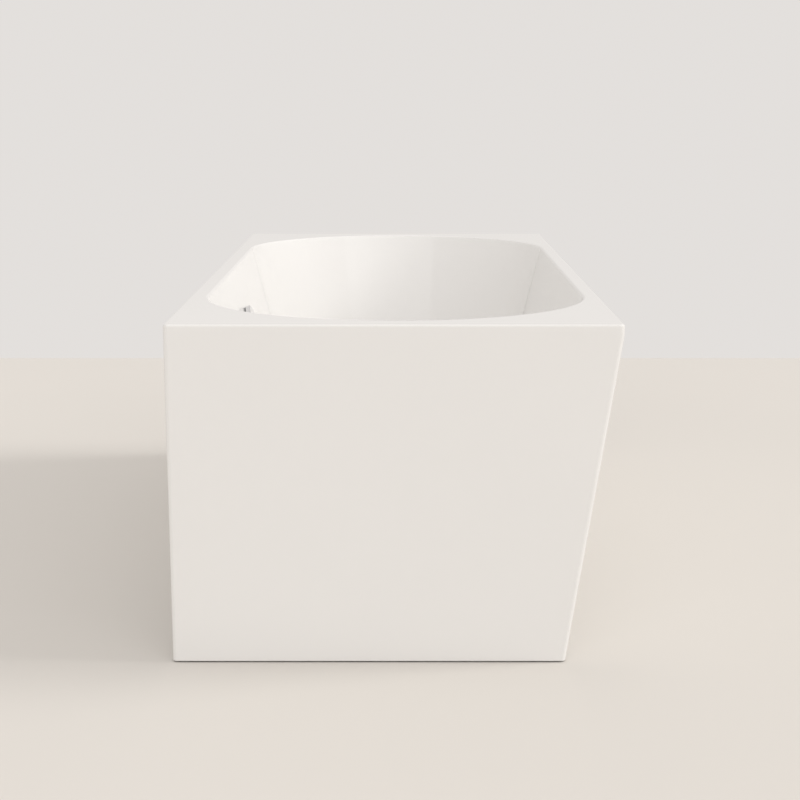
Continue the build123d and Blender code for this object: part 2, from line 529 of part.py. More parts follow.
def overflow_elbow():
    """The shallow elbow behind the wall, which turns the water down into the pipe."""
    flange = rod(ELBOW_FLANGE_R, ELBOW_FLANGE_LOW, ELBOW_FLANGE_HIGH)
    cup = rod(ELBOW_R, ELBOW_BACK, ELBOW_FLANGE_LOW)
    cup = fillet(cup.edges().sort_by(Axis.Z)[0], 2 * ELBOW_WALL)
    down = Pos(0, 0, ELBOW_MID) * Rot(90, 0, 0)
    inside = rod(ELBOW_R - ELBOW_WALL, ELBOW_BACK + ELBOW_WALL, ELBOW_FLANGE_HIGH + 1)
    body = flange + cup + down * rod(PIPE_R, 0, ELBOW_SPIGOT)
    body -= inside + down * rod(PIPE_R - PIPE_WALL, 0, ELBOW_SPIGOT + 1)
    post = rod(POST_R, ELBOW_BACK + 1, POST_FACE) - rod(SCREW_R, SCREW_TIP - 0.5, POST_FACE + 1)
    return OVERFLOW * (body + post)


def pipe_route():
    """The overflow pipe's centre line: down behind the basin, then in to the waste body."""
    start = OVERFLOW.from_local_coords((0, -ELBOW_SPIGOT - PIPE_GAP, ELBOW_MID))
    end = Vector(BASIN_X - SPIGOT_REACH - PIPE_GAP, 0, SPIGOT_Z)
    corner = Vector(start.X + (start.Z - end.Z) * WALL_SLOPE, 0, end.Z)
    return start, corner, end


def overflow_pipe():
    """The bent pipe from the overflow's elbow to the waste body."""
    start, corner, end = pipe_route()
    route = FilletPolyline(start, corner, end, radius=PIPE_BEND_R)
    face = Plane(origin=start, z_dir=route % 0)
    return sweep(face * (Circle(PIPE_R) - Circle(PIPE_R - PIPE_WALL)), path=route)


def pipe_nuts():
    """The two couplings that hold the pipe to the elbow and the waste body."""
    sleeve = fluted_ring(
        PIPE_R + PIPE_NUT_WALL, PIPE_R + SCREW_GAP, -PIPE_NUT_HALF, PIPE_NUT_HALF, PIPE_NUT_FLUTES
    )
    start, corner, end = pipe_route()
    upper = Plane(origin=start, z_dir=corner - start)
    lower = Plane(origin=end, z_dir=corner - end)
    return {"pipe_nut_upper": upper * sleeve, "pipe_nut_lower": lower * sleeve}


# ---- All the pieces -----------------------------------------------------------------------------


def all_pieces():
    pieces = {
        "basin_shell": basin_shell(),
        "outer_skirt": outer_skirt(),
        "base_board": base_board(),
        "board_screws": board_screws(),
        "rail_brackets": rail_brackets(),
        "bracket_screws": bracket_screws(),
        "thread_inserts": thread_inserts(),
        "lock_nuts": lock_nuts(),
        "drain_gasket": drain_gasket(),
        "drain_flange": drain_flange(),
        "drain_cartridge": drain_cartridge(),
        "drain_plug": drain_plug(),
        "plug_seal": plug_seal(),
        "plug_spring": plug_spring(),
        "waste_gasket": waste_gasket(),
        "waste_body": waste_body(),
        "trap_housing": trap_housing(),
        "trap_seal": trap_seal(),
        "trap_nut": trap_nut(),
        "outlet_tail": outlet_tail(),
        "outlet_coupling": outlet_coupling(),
        "overflow_cover": overflow_cover(),
        "overflow_faceplate": overflow_faceplate(),
        "overflow_screw": overflow_screw(),
        "overflow_gasket": overflow_gasket(),
        "overflow_elbow": overflow_elbow(),
        "overflow_pipe": overflow_pipe(),
    }
    pieces.update(rim_battens())
    pieces.update(skirt_battens())
    pieces.update(pipe_nuts())
    for name, y in RAIL_Y.items():
        pieces[f"cross_rail_{name}"] = cross_rail(y)
    for number, (x, y) in enumerate(FEET, start=1):
        pieces[f"foot_pad_{number}"] = foot_pad(x, y)
        pieces[f"foot_stud_{number}"] = foot_stud(x, y)
    return pieces


os.makedirs("parts", exist_ok=True)
for node, shape in all_pieces().items():
    solid = Compound(children=shape) if isinstance(shape, list) else shape
    export_step(solid, f"parts/{node}.step")
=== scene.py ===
"""A back-to-wall bathtub: the shells, fittings and finishes that are built around its fixed frame."""

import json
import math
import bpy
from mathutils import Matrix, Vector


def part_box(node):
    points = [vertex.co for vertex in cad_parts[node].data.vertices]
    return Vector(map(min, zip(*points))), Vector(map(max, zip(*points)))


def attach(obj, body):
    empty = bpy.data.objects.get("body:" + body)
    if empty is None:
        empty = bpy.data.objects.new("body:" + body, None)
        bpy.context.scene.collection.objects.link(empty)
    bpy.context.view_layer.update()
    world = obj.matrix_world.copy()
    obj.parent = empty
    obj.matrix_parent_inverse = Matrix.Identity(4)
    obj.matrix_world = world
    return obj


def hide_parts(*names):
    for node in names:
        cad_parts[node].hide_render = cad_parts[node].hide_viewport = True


bl_info = {
    "name": "Back-to-wall bathtub",
    "version": (1, 0, 0),
    "blender": (4, 5, 0),
    "location": "View3D > Sidebar > Bathtub",
    "description": "Models a freestanding bathtub's shells and fittings, and gives every piece its finish",
    "category": "Object",
}

import bmesh
import bpy
from mathutils import Matrix, Vector

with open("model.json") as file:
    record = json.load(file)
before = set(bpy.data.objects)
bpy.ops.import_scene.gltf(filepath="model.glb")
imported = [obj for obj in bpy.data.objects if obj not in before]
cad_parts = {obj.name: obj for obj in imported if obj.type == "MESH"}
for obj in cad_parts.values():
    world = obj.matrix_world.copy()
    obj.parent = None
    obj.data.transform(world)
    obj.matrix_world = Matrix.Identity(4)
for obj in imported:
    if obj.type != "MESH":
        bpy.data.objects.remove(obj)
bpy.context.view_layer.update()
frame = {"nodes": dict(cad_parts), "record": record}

MM = 0.001
SHELL_LOWEST, SHELL_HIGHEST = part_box("basin_shell")
SKIRT_LOWEST, SKIRT_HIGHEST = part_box("outer_skirt")
WIDTH = SHELL_HIGHEST.x - SHELL_LOWEST.x
LENGTH = SHELL_HIGHEST.y - SHELL_LOWEST.y
HEIGHT = SHELL_HIGHEST.z
NEAR = 1e-5

SMALL_EDGE = 0.6 * MM  # the light rounding on turned edges
DOME_STEPS, DOME_SHARE = 7, 0.93  # steps across the plug's face, and how much of it is domed
EDGE_STEPS = 6  # steps round the deck's outer edge
MOUTH_COLLAR = 14 * MM  # deck that is modelled with the well, so that its edge can be rounded
DRAIN_DISC = 2.4  # how many times larger than the drain hole the floor's middle disc is


# ---- What a user can change ---------------------------------------------------------------------


def length(name, description, millimetres):
    """A length that is shown in the scene's unit."""
    return bpy.props.FloatProperty(
        name=name, description=description, default=millimetres * MM, unit="LENGTH", precision=4
    )


def angle(name, description, degrees):
    """An angle, shown in degrees."""
    return bpy.props.FloatProperty(
        name=name, description=description, default=math.radians(degrees), unit="ROTATION"
    )


def colour(name, description, rgb):
    """A colour, shown as a swatch."""
    return bpy.props.FloatVectorProperty(
        name=name, description=description, default=rgb, size=3, subtype="COLOR", min=0, max=1
    )


def amount(name, description, default):
    """A plain number."""
    return bpy.props.FloatProperty(name=name, description=description, default=default)


def count(name, description, default):
    """A whole number."""
    return bpy.props.IntProperty(name=name, description=description, default=default, min=1)


class TubSizes(bpy.types.PropertyGroup):
    """Sizes of the two shells."""

    sheet: length("Sheet", "Thickness of the moulded sheet", 5)
    back_rim: length("Back rim", "Deck between the well and the upright back", 32)
    front_rim: length("Front rim", "Deck between the well and the sloping front", 28)
    end_rim: length("End rim", "Deck between the well and each end", 50)
    corner: length("Upright corners", "Radius of the four upright corners", 8)
    deck_edge: length("Deck edge", "Rounding of the deck's outer edge", 3.5)
    foot_edge: length("Foot edge", "Rounding of the skirt's lower edge", 1.5)
    opening_edge: length("Opening edge", "How much of the deck the well's rounded edge takes", 4.5)
    floor_half_width: length("Floor half width", "From the centre line to the side walls, at the floor", 222)
    floor_half_length: length("Floor half length", "From the middle to the end walls, at the floor", 590)
    floor_blend: length("Floor blend", "How far up the walls the floor's rounding starts", 56)
    front_taper: length("Front taper", "How far the front's foot stands in from its top", 85)
    end_draft: length("End draft", "How far each end's foot stands in from its top", 20)
    front_band: length("Front band", "Upright strip under the deck", 13)
    glue_flange: length("Glue flange", "Width of the skirt's flange under the deck", 12)
    outline_points: count("Outline points", "Points round the well's outline", 192)


class FittingSizes(bpy.types.PropertyGroup):
    """Sizes of the waste, the overflow and the feet."""

    drain_hole: length("Drain hole", "Radius of the hole in the well's floor", 26)
    overflow_depth: length("Overflow depth", "From the deck down to the overflow's centre", 115)
    overflow_hole: length("Overflow hole", "Radius of the hole in the back wall", 26)
    cover_radius: length("Cover radius", "Radius of the overflow's cover", 35)
    cover_low: length("Cover stand-off", "Gap between the wall and the cover's rim", 3)
    cover_high: length("Cover height", "From the wall to the cover's face", 12.5)
    cover_sheet: length("Cover sheet", "Thickness of the cover", 2)
    mouth_half_width: length("Mouth half width", "Half the width of the cover's inlet", 24)
    mouth_top: length("Mouth top", "From the cover's centre down to its inlet", 20)
    cover_edge: length("Cover edge", "Rounding of the cover's face", 2.4)
    cover_lip: length("Cover lip", "Rounding of the cover's rim", 0.5)
    mouth_depth: length("Mouth depth", "How far the inlet is cut up from the cover's rim", 5)
    mouth_corner: length("Mouth corner", "Rounding of the inlet's corners", 3)
    plug_edge: length("Plug edge", "From the plug's crown down to its underside", 5)
    plug_crown: length("Plug crown", "How much the plug's face domes", 1.4)
    plug_skirt: length("Plug skirt", "Radius of the plug's guide skirt", 20)
    plug_skirt_wall: length("Plug skirt wall", "Thickness of the guide skirt", 2.5)
    plug_skirt_depth: length("Plug skirt depth", "How far the guide skirt hangs down", 8)
    stem_radius: length("Stem", "Radius of the plug's stem", 4)
    pad_lip: length("Pad lip", "Rounding of the pad's lower edge", 0.8)
    pad_ribs: count("Pad ribs", "Grip ribs round each pad", 4)
    rib_height: length("Rib height", "How far each rib stands out", 0.7)
    socket_radius: length("Socket", "Radius of the pad's socket", 5.05)
    socket_low: length("Socket floor", "From the floor to the socket's bottom", 6)
    pin_radius: length("Pin", "Radius of the stud's pin", 5)
    shank_radius: length("Shank", "Radius over the stud's thread", 5.9)
    collar_low: length("Collar low", "Lower face of the spanner collar", 16)
    collar_high: length("Collar high", "Upper face of the spanner collar", 24)
    collar_edge: length("Collar edge", "Rounding of the spanner collar", 0.5)
    thread_pitch: length("Thread pitch", "Pitch of the levelling studs", 1.75)
    thread_depth: length("Thread depth", "Depth of the studs' thread", 0.95)
    turned_points: count("Turned points", "Points round a turned piece", 72)


class Finishes(bpy.types.PropertyGroup):
    """Colours of the finishes."""

    acrylic: colour("Acrylic", "The white of the moulded sheet", (0.81, 0.80, 0.785))
    backing: colour("Backing", "Glass fibre and resin on the sheet's hidden side", (0.66, 0.69, 0.6))
    chrome: colour("Chrome", "Polished plating", (0.82, 0.82, 0.83))
    zinc: colour("Zinc", "Bright zinc plating", (0.56, 0.58, 0.6))
    steel_wire: colour("Spring steel", "Drawn wire", (0.42, 0.42, 0.44))
    brass: colour("Brass", "Turned brass", (0.72, 0.54, 0.25))
    rubber: colour("Rubber", "Moulded rubber", (0.025, 0.025, 0.027))
    grey_plastic: colour("Grey plastic", "Waste and pipe mouldings", (0.27, 0.28, 0.29))
    white_plastic: colour("White plastic", "Union nuts", (0.78, 0.78, 0.76))
    pine_light: colour("Pine, early wood", "Between the growth rings", (0.72, 0.5, 0.28))
    pine_dark: colour("Pine, late wood", "The growth rings", (0.47, 0.27, 0.12))
    birch_light: colour("Birch, light", "The plywood's face", (0.66, 0.5, 0.32))
    birch_dark: colour("Birch, dark", "Glue lines and grain", (0.4, 0.26, 0.14))
    floor: colour("Floor", "The stage's floor", (0.72, 0.69, 0.65))
    backdrop: colour("Backdrop", "The even tone behind the floor and all round", (1.0, 0.965, 0.935))
    key_tint: colour("Key tint", "The key light's colour", (1.0, 0.985, 0.96))


class StageSettings(bpy.types.PropertyGroup):
    """The camera and the lights."""

    camera_back: length("Camera distance", "From the tub's middle back to the camera", 3541)
    camera_side: length("Camera offset", "From the tub's centre line to the camera", 10)
    camera_height: length("Camera height", "From the floor to the camera", 960)
    camera_pitch: angle("Camera pitch", "How far the camera looks down", 10.61)
    lens: amount("Lens", "Focal length in millimetres on a 36 mm sensor", 75.5)
    floor_size: length("Floor size", "Length and width of the floor", 30000)
    floor_end: length("Floor end", "From the tub's middle back to the floor's far edge", 2400)
    key_power: amount("Key light", "Strength of the lamp on the right, a little behind the tub", 1.3)
    key_width: angle("Key width", "How wide the key light looks from the tub", 22)
    fill_power: amount("Fill light", "Strength of the lamp behind the camera", 0.85)
    fill_width: angle("Fill width", "How wide the fill light looks from the tub", 80)
    sky: amount("Room light", "Strength of the even light from all round", 0.77)


GROUPS = (TubSizes, FittingSizes, Finishes, StageSettings)


def sizes():
    return bpy.context.scene.tub_sizes


def fittings():
    return bpy.context.scene.tub_fittings


# ---- Modelling by hand --------------------------------------------------------------------------


def clear_selection():
    """Leaves edit mode with nothing selected."""
    if bpy.context.object and bpy.context.object.mode != "OBJECT":
        bpy.ops.object.mode_set(mode="OBJECT")
    bpy.ops.object.select_all(action="DESELECT")


def begin(name):
    """Names the primitive that was just added, puts its place in its mesh, and opens it for editing."""
    piece = bpy.context.object
    piece.name = name
    piece.data.name = name
    bpy.ops.object.transform_apply(location=True, rotation=True, scale=True)
    bpy.ops.object.mode_set(mode="EDIT")
    bpy.ops.mesh.select_mode(type="VERT")
    return piece


def close(piece):
    """Leaves edit mode and returns the piece."""
    bpy.ops.object.mode_set(mode="OBJECT")
    return piece


def pick(piece, kind, test):
    """Selects the open mesh's verts, edges or faces that pass a test, and nothing else."""
    bpy.ops.mesh.select_mode(type={"verts": "VERT", "edges": "EDGE", "faces": "FACE"}[kind])
    bpy.ops.mesh.select_all(action="DESELECT")
    grid = bmesh.from_edit_mesh(piece.data)
    grid.normal_update()
    found = 0
    for element in getattr(grid, kind):
        if test(element):
            element.select_set(True)
            found += 1
    grid.select_flush_mode()
    bmesh.update_edit_mesh(piece.data)
    return found


def must_pick(piece, kind, test):
    """Selects as pick does, and stops if nothing passes."""
    if not pick(piece, kind, test):
        raise RuntimeError(f"nothing to select in {piece.name}")


def level(z):
    """A test for verts at one height."""
    return lambda vert: abs(vert.co.z - z) < NEAR


def rim_at(z):
    """A test for open edges at one height."""
    return lambda edge: edge.is_boundary and all(abs(vert.co.z - z) < NEAR for vert in edge.verts)


def resize(x=1.0, y=1.0, z=1.0, centre=(0, 0, 0)):
    """Scales the selection about a point."""
    bpy.ops.transform.resize(value=(x, y, z), center_override=centre)


def move(x=0.0, y=0.0, z=0.0):
    """Moves the selection."""
    bpy.ops.transform.translate(value=(x, y, z))


def extrude_rim(x=0.0, y=0.0, z=0.0):
    """Extrudes the selected open edges and moves the new ones."""
    bpy.ops.mesh.extrude_edges_move(TRANSFORM_OT_translate={"value": (x, y, z)})


def face_outwards():
    """Turns every face of the open, closed mesh outwards."""
    bpy.ops.mesh.select_all(action="SELECT")
    bpy.ops.mesh.remove_doubles(threshold=NEAR)
    bpy.ops.mesh.normals_make_consistent(inside=False)
    grid = bmesh.from_edit_mesh(bpy.context.object.data)
    if grid.calc_volume(signed=True) < 0:
        bpy.ops.mesh.flip_normals()


def cut(piece, tool):
    """Cuts one closed mesh out of another, and removes the cutting one."""
    apply_modifier(piece, "BOOLEAN", operation="DIFFERENCE", object=tool, solver="EXACT")
    bpy.data.objects.remove(tool)
    clear_selection()
    piece.select_set(True)
    bpy.ops.object.mode_set(mode="EDIT")
    face_outwards()
    close(piece)


def apply_modifier(piece, kind, **values):
    """Adds one modifier and applies it."""
    bpy.context.view_layer.objects.active = piece
    modifier = piece.modifiers.new(kind.title(), kind)
    for name, value in values.items():
        setattr(modifier, name, value)
    bpy.ops.object.modifier_apply(modifier=modifier.name)


def smooth(piece, degrees=35, weighted=True):
    """Shades a piece smooth, with its flat faces kept flat."""
    clear_selection()
    piece.select_set(True)
    bpy.context.view_layer.objects.active = piece
    bpy.ops.object.shade_smooth_by_angle(angle=math.radians(degrees))
    if weighted:
        apply_modifier(piece, "WEIGHTED_NORMAL", keep_sharp=True, weight=80)


def turned(name, outline, points, axis=None, bevels=()):
    """A turned piece: a ring that is extruded and resized along an outline of (radius, height) pairs.

    An outline that begins or ends at radius 0 is closed there, and one whose two ends meet is a ring.
    Each of bevels is (radius, height, width): the edge ring there is rounded by that width.
    """
    closed_ring = outline[0] == outline[-1]
    solid = [pair for pair in outline if pair[0] > 0]
    clear_selection()
    radius, z = solid[0]
    bpy.ops.mesh.primitive_circle_add(vertices=points, radius=radius, location=(0, 0, z))
    piece = begin(name)
    if outline[0][0] == 0:
        bpy.ops.mesh.select_all(action="SELECT")
        bpy.ops.mesh.edge_face_add()
    pick(piece, "edges", lambda edge: True)
    for new_radius, new_z in solid[1:]:
        extrude_rim(z=new_z - z)
        resize(new_radius / radius, new_radius / radius, 1, (0, 0, new_z))
        radius, z = new_radius, new_z
    if outline[-1][0] == 0:
        bpy.ops.mesh.edge_face_add()
    if closed_ring:
        bpy.ops.mesh.select_all(action="SELECT")
        bpy.ops.mesh.remove_doubles(threshold=NEAR)
    face_outwards()
    for ring_radius, ring_z, width in bevels:
        round_ring(piece, ring_radius, ring_z, width)
    close(piece)
    if axis is not None:
        place(piece, axis)
    return piece


def round_ring(piece, radius, z, width, segments=4):
    """Rounds the edge ring at one radius and height."""

    def on_ring(edge):
        return all(
            abs(vert.co.z - z) < NEAR and abs(vert.co.xy.length - radius) < NEAR for vert in edge.verts
        )

    must_pick(piece, "edges", on_ring)
    bpy.ops.mesh.bevel(offset=width, segments=segments, profile=0.5, clamp_overlap=True)


def place(piece, matrix):
    """Moves a piece's mesh by a matrix and leaves its object at the origin."""
    clear_selection()
    piece.select_set(True)
    bpy.context.view_layer.objects.active = piece
    piece.matrix_world = matrix @ piece.matrix_world
    bpy.ops.object.transform_apply(location=True, rotation=True, scale=True)


def join(name, pieces):
    """Joins meshes into one piece."""
    clear_selection()
    for piece in pieces:
        piece.select_set(True)
    bpy.context.view_layer.objects.active = pieces[0]
    if len(pieces) > 1:
        bpy.ops.object.join()
    pieces[0].name = name
    pieces[0].data.name = name
    return pieces[0]


def copy_to(piece, name, offset):
    """A copy of a piece, with its own mesh, moved by an offset."""
    clear_selection()
    piece.select_set(True)
    bpy.context.view_layer.objects.active = piece
    bpy.ops.object.duplicate(linked=False)
    twin = bpy.context.object
    twin.name = name
    twin.data.name = name
    place(twin, Matrix.Translation(offset))
    return twin


def stand_for(piece, node, material):
    """Gives a piece its finish and lets it stand for a frame node on that node's body."""
    for body, nodes in frame["record"]["behaviour"]["bodies"].items():
        if node in nodes:
            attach(piece, body)
    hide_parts(node)
    if material is not None:
        piece.data.materials.clear()
        piece.data.materials.append(material)


# ---- Shader groups and materials ----------------------------------------------------------------


def new_group(name, inputs, outputs):
    """An empty shader group with named sockets, and its input and output nodes."""
    group = bpy.data.node_groups.new(name, "ShaderNodeTree")
    for label, kind, default in inputs:
        socket = group.interface.new_socket(name=label, in_out="INPUT", socket_type=kind)
        if default is not None:
            socket.default_value = default
    for label, kind in outputs:
        group.interface.new_socket(name=label, in_out="OUTPUT", socket_type=kind)
    return group, group.nodes.new("NodeGroupInput"), group.nodes.new("NodeGroupOutput")


def add_node(tree, kind, **values):
    """Adds a node and sets its properties and input values."""
    node = tree.nodes.new(kind)
    for name, value in values.items():
        if hasattr(node, name):
            setattr(node, name, value)
        else:
            node.inputs[name.replace("_", " ")].default_value = value
    return node


def noise(tree, vector, scale, detail=3.0, roughness=0.5):
    """A noise texture on a vector, with a linked or a plain scale."""
    node = add_node(tree, "ShaderNodeTexNoise")
    node.inputs["Detail"].default_value = detail
    node.inputs["Roughness"].default_value = roughness
    tree.links.new(vector, node.inputs["Vector"])
    if isinstance(scale, (int, float)):
        node.inputs["Scale"].default_value = scale
    else:
        tree.links.new(scale, node.inputs["Scale"])
    return node.outputs["Fac"]


def calculate(tree, operation, first, second=0.0, third=0.0):
    """A math node on sockets or plain numbers."""
    node = tree.nodes.new("ShaderNodeMath")
    node.operation = operation
    for socket, value in zip(node.inputs, (first, second, third)):
        if isinstance(value, (int, float)):
            socket.default_value = value
        else:
            tree.links.new(value, socket)
    return node.outputs[0]


def spread(tree, value, low, high, new_low=0.0, new_high=1.0):
    """Maps a range of a value to another, and clamps it."""
    node = tree.nodes.new("ShaderNodeMapRange")
    for socket, number in zip(list(node.inputs)[1:5], (low, high, new_low, new_high)):
        socket.default_value = number
    tree.links.new(value, node.inputs["Value"])
    return node.outputs["Result"]


def mix_colours(tree, factor, first, second):
    """Mixes two colours, sockets or plain, by a factor."""
    node = tree.nodes.new("ShaderNodeMix")
    node.data_type = "RGBA"
    sockets = (node.inputs[0], node.inputs[6], node.inputs[7])
    for socket, value in zip(sockets, (factor, first, second)):
        if isinstance(value, bpy.types.NodeSocket):
            tree.links.new(value, socket)
        elif isinstance(value, (int, float)):
            socket.default_value = value
        else:
            socket.default_value = (*value, 1.0)
    return node.outputs[2]


def object_space(tree):
    return tree.nodes.new("ShaderNodeTexCoord").outputs["Object"]


def stretch(tree, vector, scale):
    """Scales a vector, so that a pattern is drawn out along an axis."""
    node = tree.nodes.new("ShaderNodeMapping")
    node.inputs["Scale"].default_value = scale
    tree.links.new(vector, node.inputs["Vector"])
    return node.outputs["Vector"]


def make_tone_group():
    """Slow drift between two close tones of one colour, with a fine grain over it."""
    group, given, result = new_group(
        "Tone drift",
        [
            ("Vector", "NodeSocketVector", None),
            ("Colour", "NodeSocketColor", (0.8, 0.8, 0.8, 1)),
            ("Depth", "NodeSocketFloat", 0.03),
            ("Size", "NodeSocketFloat", 6.0),
        ],
        [("Colour", "NodeSocketColor"), ("Mask", "NodeSocketFloat")],
    )
    slow = noise(group, given.outputs["Vector"], given.outputs["Size"], 2)
    fine = noise(group, given.outputs["Vector"], 900.0, 2)
    blend = calculate(group, "MULTIPLY_ADD", slow, 0.7, calculate(group, "MULTIPLY", fine, 0.3))
    mask = spread(group, blend, 0.3, 0.7)
    shade = calculate(group, "MULTIPLY", mask, given.outputs["Depth"])
    keep = calculate(group, "SUBTRACT", 1.0, shade)
    node = group.nodes.new("ShaderNodeVectorMath")
    node.operation = "SCALE"
    group.links.new(given.outputs["Colour"], node.inputs[0])
    group.links.new(keep, node.inputs["Scale"])
    group.links.new(node.outputs[0], result.inputs["Colour"])
    group.links.new(mask, result.inputs["Mask"])
    return group


def make_relief_group():
    """The shallow waves of a moulded sheet and a finer pebble, as one height."""
    group, given, result = new_group(
        "Moulded relief",
        [
            ("Vector", "NodeSocketVector", None),
            ("Wave size", "NodeSocketFloat", 14.0),
            ("Pebble size", "NodeSocketFloat", 700.0),
            ("Pebble share", "NodeSocketFloat", 0.1),
        ],
        [("Height", "NodeSocketFloat")],
    )
    wave = noise(group, given.outputs["Vector"], given.outputs["Wave size"], 1)
    pebble = noise(group, given.outputs["Vector"], given.outputs["Pebble size"], 2)
    height = calculate(group, "MULTIPLY_ADD", pebble, given.outputs["Pebble share"], wave)
    group.links.new(height, result.inputs["Height"])
    return group


def make_dust_group():
    """Faint settled dust: more on what faces up, in soft patches."""
    group, given, result = new_group(
        "Settled dust",
        [("Vector", "NodeSocketVector", None), ("Amount", "NodeSocketFloat", 0.2)],
        [("Mask", "NodeSocketFloat")],
    )
    facing = group.nodes.new("ShaderNodeNewGeometry").outputs["Normal"]
    parts = group.nodes.new("ShaderNodeSeparateXYZ")
    group.links.new(facing, parts.inputs[0])
    up = spread(group, parts.outputs["Z"], 0.2, 1.0)
    patches = spread(group, noise(group, given.outputs["Vector"], 9.0, 6, 0.65), 0.4, 0.75)
    mask = calculate(group, "MULTIPLY", calculate(group, "MULTIPLY", up, patches), given.outputs["Amount"])
    group.links.new(mask, result.inputs["Mask"])
    return group


def make_brushed_group():
    """Fine lines along one axis, as on drawn or brushed metal."""
    group, given, result = new_group(
        "Drawn lines",
        [("Vector", "NodeSocketVector", None), ("Stretch", "NodeSocketVector", (1, 60, 60))],
        [("Height", "NodeSocketFloat"), ("Mask", "NodeSocketFloat")],
    )
    node = group.nodes.new("ShaderNodeVectorMath")
    node.operation = "MULTIPLY"
    group.links.new(given.outputs["Vector"], node.inputs[0])
    group.links.new(given.outputs["Stretch"], node.inputs[1])
    lines = noise(group, node.outputs[0], 12.0, 4, 0.6)
    group.links.new(lines, result.inputs["Height"])
    group.links.new(spread(group, lines, 0.35, 0.65), result.inputs["Mask"])
    return group


def make_grain_group():
    """Growth rings drawn out along the board, with pores."""
    group, given, result = new_group(
        "Wood grain",
        [
            ("Vector", "NodeSocketVector", None),
            ("Light", "NodeSocketColor", (0.7, 0.5, 0.3, 1)),
            ("Dark", "NodeSocketColor", (0.4, 0.25, 0.12, 1)),
            ("Ring spacing", "NodeSocketFloat", 160.0),
        ],
        [("Colour", "NodeSocketColor"), ("Height", "NodeSocketFloat")],
    )
    waver = noise(group, given.outputs["Vector"], 7.0, 3)
    bent = group.nodes.new("ShaderNodeVectorMath")
    bent.operation = "ADD"
    group.links.new(given.outputs["Vector"], bent.inputs[0])
    lift = calculate(group, "MULTIPLY", waver, 0.05)
    group.links.new(lift, bent.inputs[1])
    rings = group.nodes.new("ShaderNodeTexWave")
    rings.wave_type = "RINGS"
    rings.rings_direction = "Y"
    rings.inputs["Distortion"].default_value = 1.5
    rings.inputs["Detail"].default_value = 3
    group.links.new(bent.outputs[0], rings.inputs["Vector"])
    group.links.new(given.outputs["Ring spacing"], rings.inputs["Scale"])
    pores = noise(group, stretch(group, given.outputs["Vector"], (40, 1.2, 40)), 22.0, 3, 0.7)
    streak = calculate(group, "MULTIPLY", spread(group, pores, 0.45, 0.75), 0.45)
    mask = calculate(group, "MAXIMUM", calculate(group, "MULTIPLY", rings.outputs["Fac"], 0.65), streak)
    tone = mix_colours(group, mask, given.outputs["Light"], given.outputs["Dark"])
    group.links.new(tone, result.inputs["Colour"])
    group.links.new(mask, result.inputs["Height"])
    return group


def make_fibre_group():
    """A mat of chopped glass strands under resin."""
    group, given, result = new_group(
        "Fibre mat",
        [("Vector", "NodeSocketVector", None), ("Strand size", "NodeSocketFloat", 60.0)],
        [("Mask", "NodeSocketFloat"), ("Height", "NodeSocketFloat")],
    )
    layers = []
    for turn, drawn_out in ((0.4, (1, 14, 6)), (1.5, (12, 1, 6)), (2.4, (14, 2, 1))):
        turned_space = group.nodes.new("ShaderNodeMapping")
        turned_space.inputs["Rotation"].default_value = (turn * 0.5, turn, turn * 1.7)
        turned_space.inputs["Scale"].default_value = drawn_out
        group.links.new(given.outputs["Vector"], turned_space.inputs["Vector"])
        strands = noise(group, turned_space.outputs[0], given.outputs["Strand size"], 2)
        layers.append(spread(group, strands, 0.52, 0.66))
    mat = calculate(group, "MAXIMUM", calculate(group, "MAXIMUM", layers[0], layers[1]), layers[2])
    group.links.new(mat, result.inputs["Mask"])
    pool = noise(group, given.outputs["Vector"], 30.0, 2)
    group.links.new(calculate(group, "MULTIPLY_ADD", pool, 0.8, mat), result.inputs["Height"])
    return group


GROUP_MAKERS = {
    "tone": make_tone_group,
    "relief": make_relief_group,
    "dust": make_dust_group,
    "brushed": make_brushed_group,
    "grain": make_grain_group,
    "fibre": make_fibre_group,
}
groups = {}


def use_group(tree, name, vector, **values):
    """Places a shared group in a material, on a vector and with its own values."""
    if name not in groups:
        groups[name] = GROUP_MAKERS[name]()
    node = tree.nodes.new("ShaderNodeGroup")
    node.node_tree = groups[name]
    tree.links.new(vector, node.inputs["Vector"])
    for label, value in values.items():
        socket = node.inputs[label.replace("_", " ")]
        if isinstance(value, bpy.types.NodeSocket):
            tree.links.new(value, socket)
        elif socket.type == "RGBA":
            socket.default_value = (*value, 1.0)
        else:
            socket.default_value = value
    return node.outputs


def new_material(name, roughness, metallic=0.0, specular=0.5, coat=0.0, coat_roughness=0.03):
    """An empty material and its principled shader, with the values that are the same all over."""
    material = bpy.data.materials.new(name)
    material.use_nodes = True
    shader = material.node_tree.nodes["Principled BSDF"]
    shader.inputs["Roughness"].default_value = roughness
    shader.inputs["Metallic"].default_value = metallic
    shader.inputs["Specular IOR Level"].default_value = specular
    shader.inputs["Coat Weight"].default_value = coat
    shader.inputs["Coat Roughness"].default_value = coat_roughness
    return material, material.node_tree, shader


def raise_surface(tree, shader, height, strength, distance):
    """Feeds a height to the shader's normal."""
    bump = tree.nodes.new("ShaderNodeBump")
    bump.inputs["Strength"].default_value = strength
    bump.inputs["Distance"].default_value = distance
    tree.links.new(height, bump.inputs["Height"])
    tree.links.new(bump.outputs["Normal"], shader.inputs["Normal"])


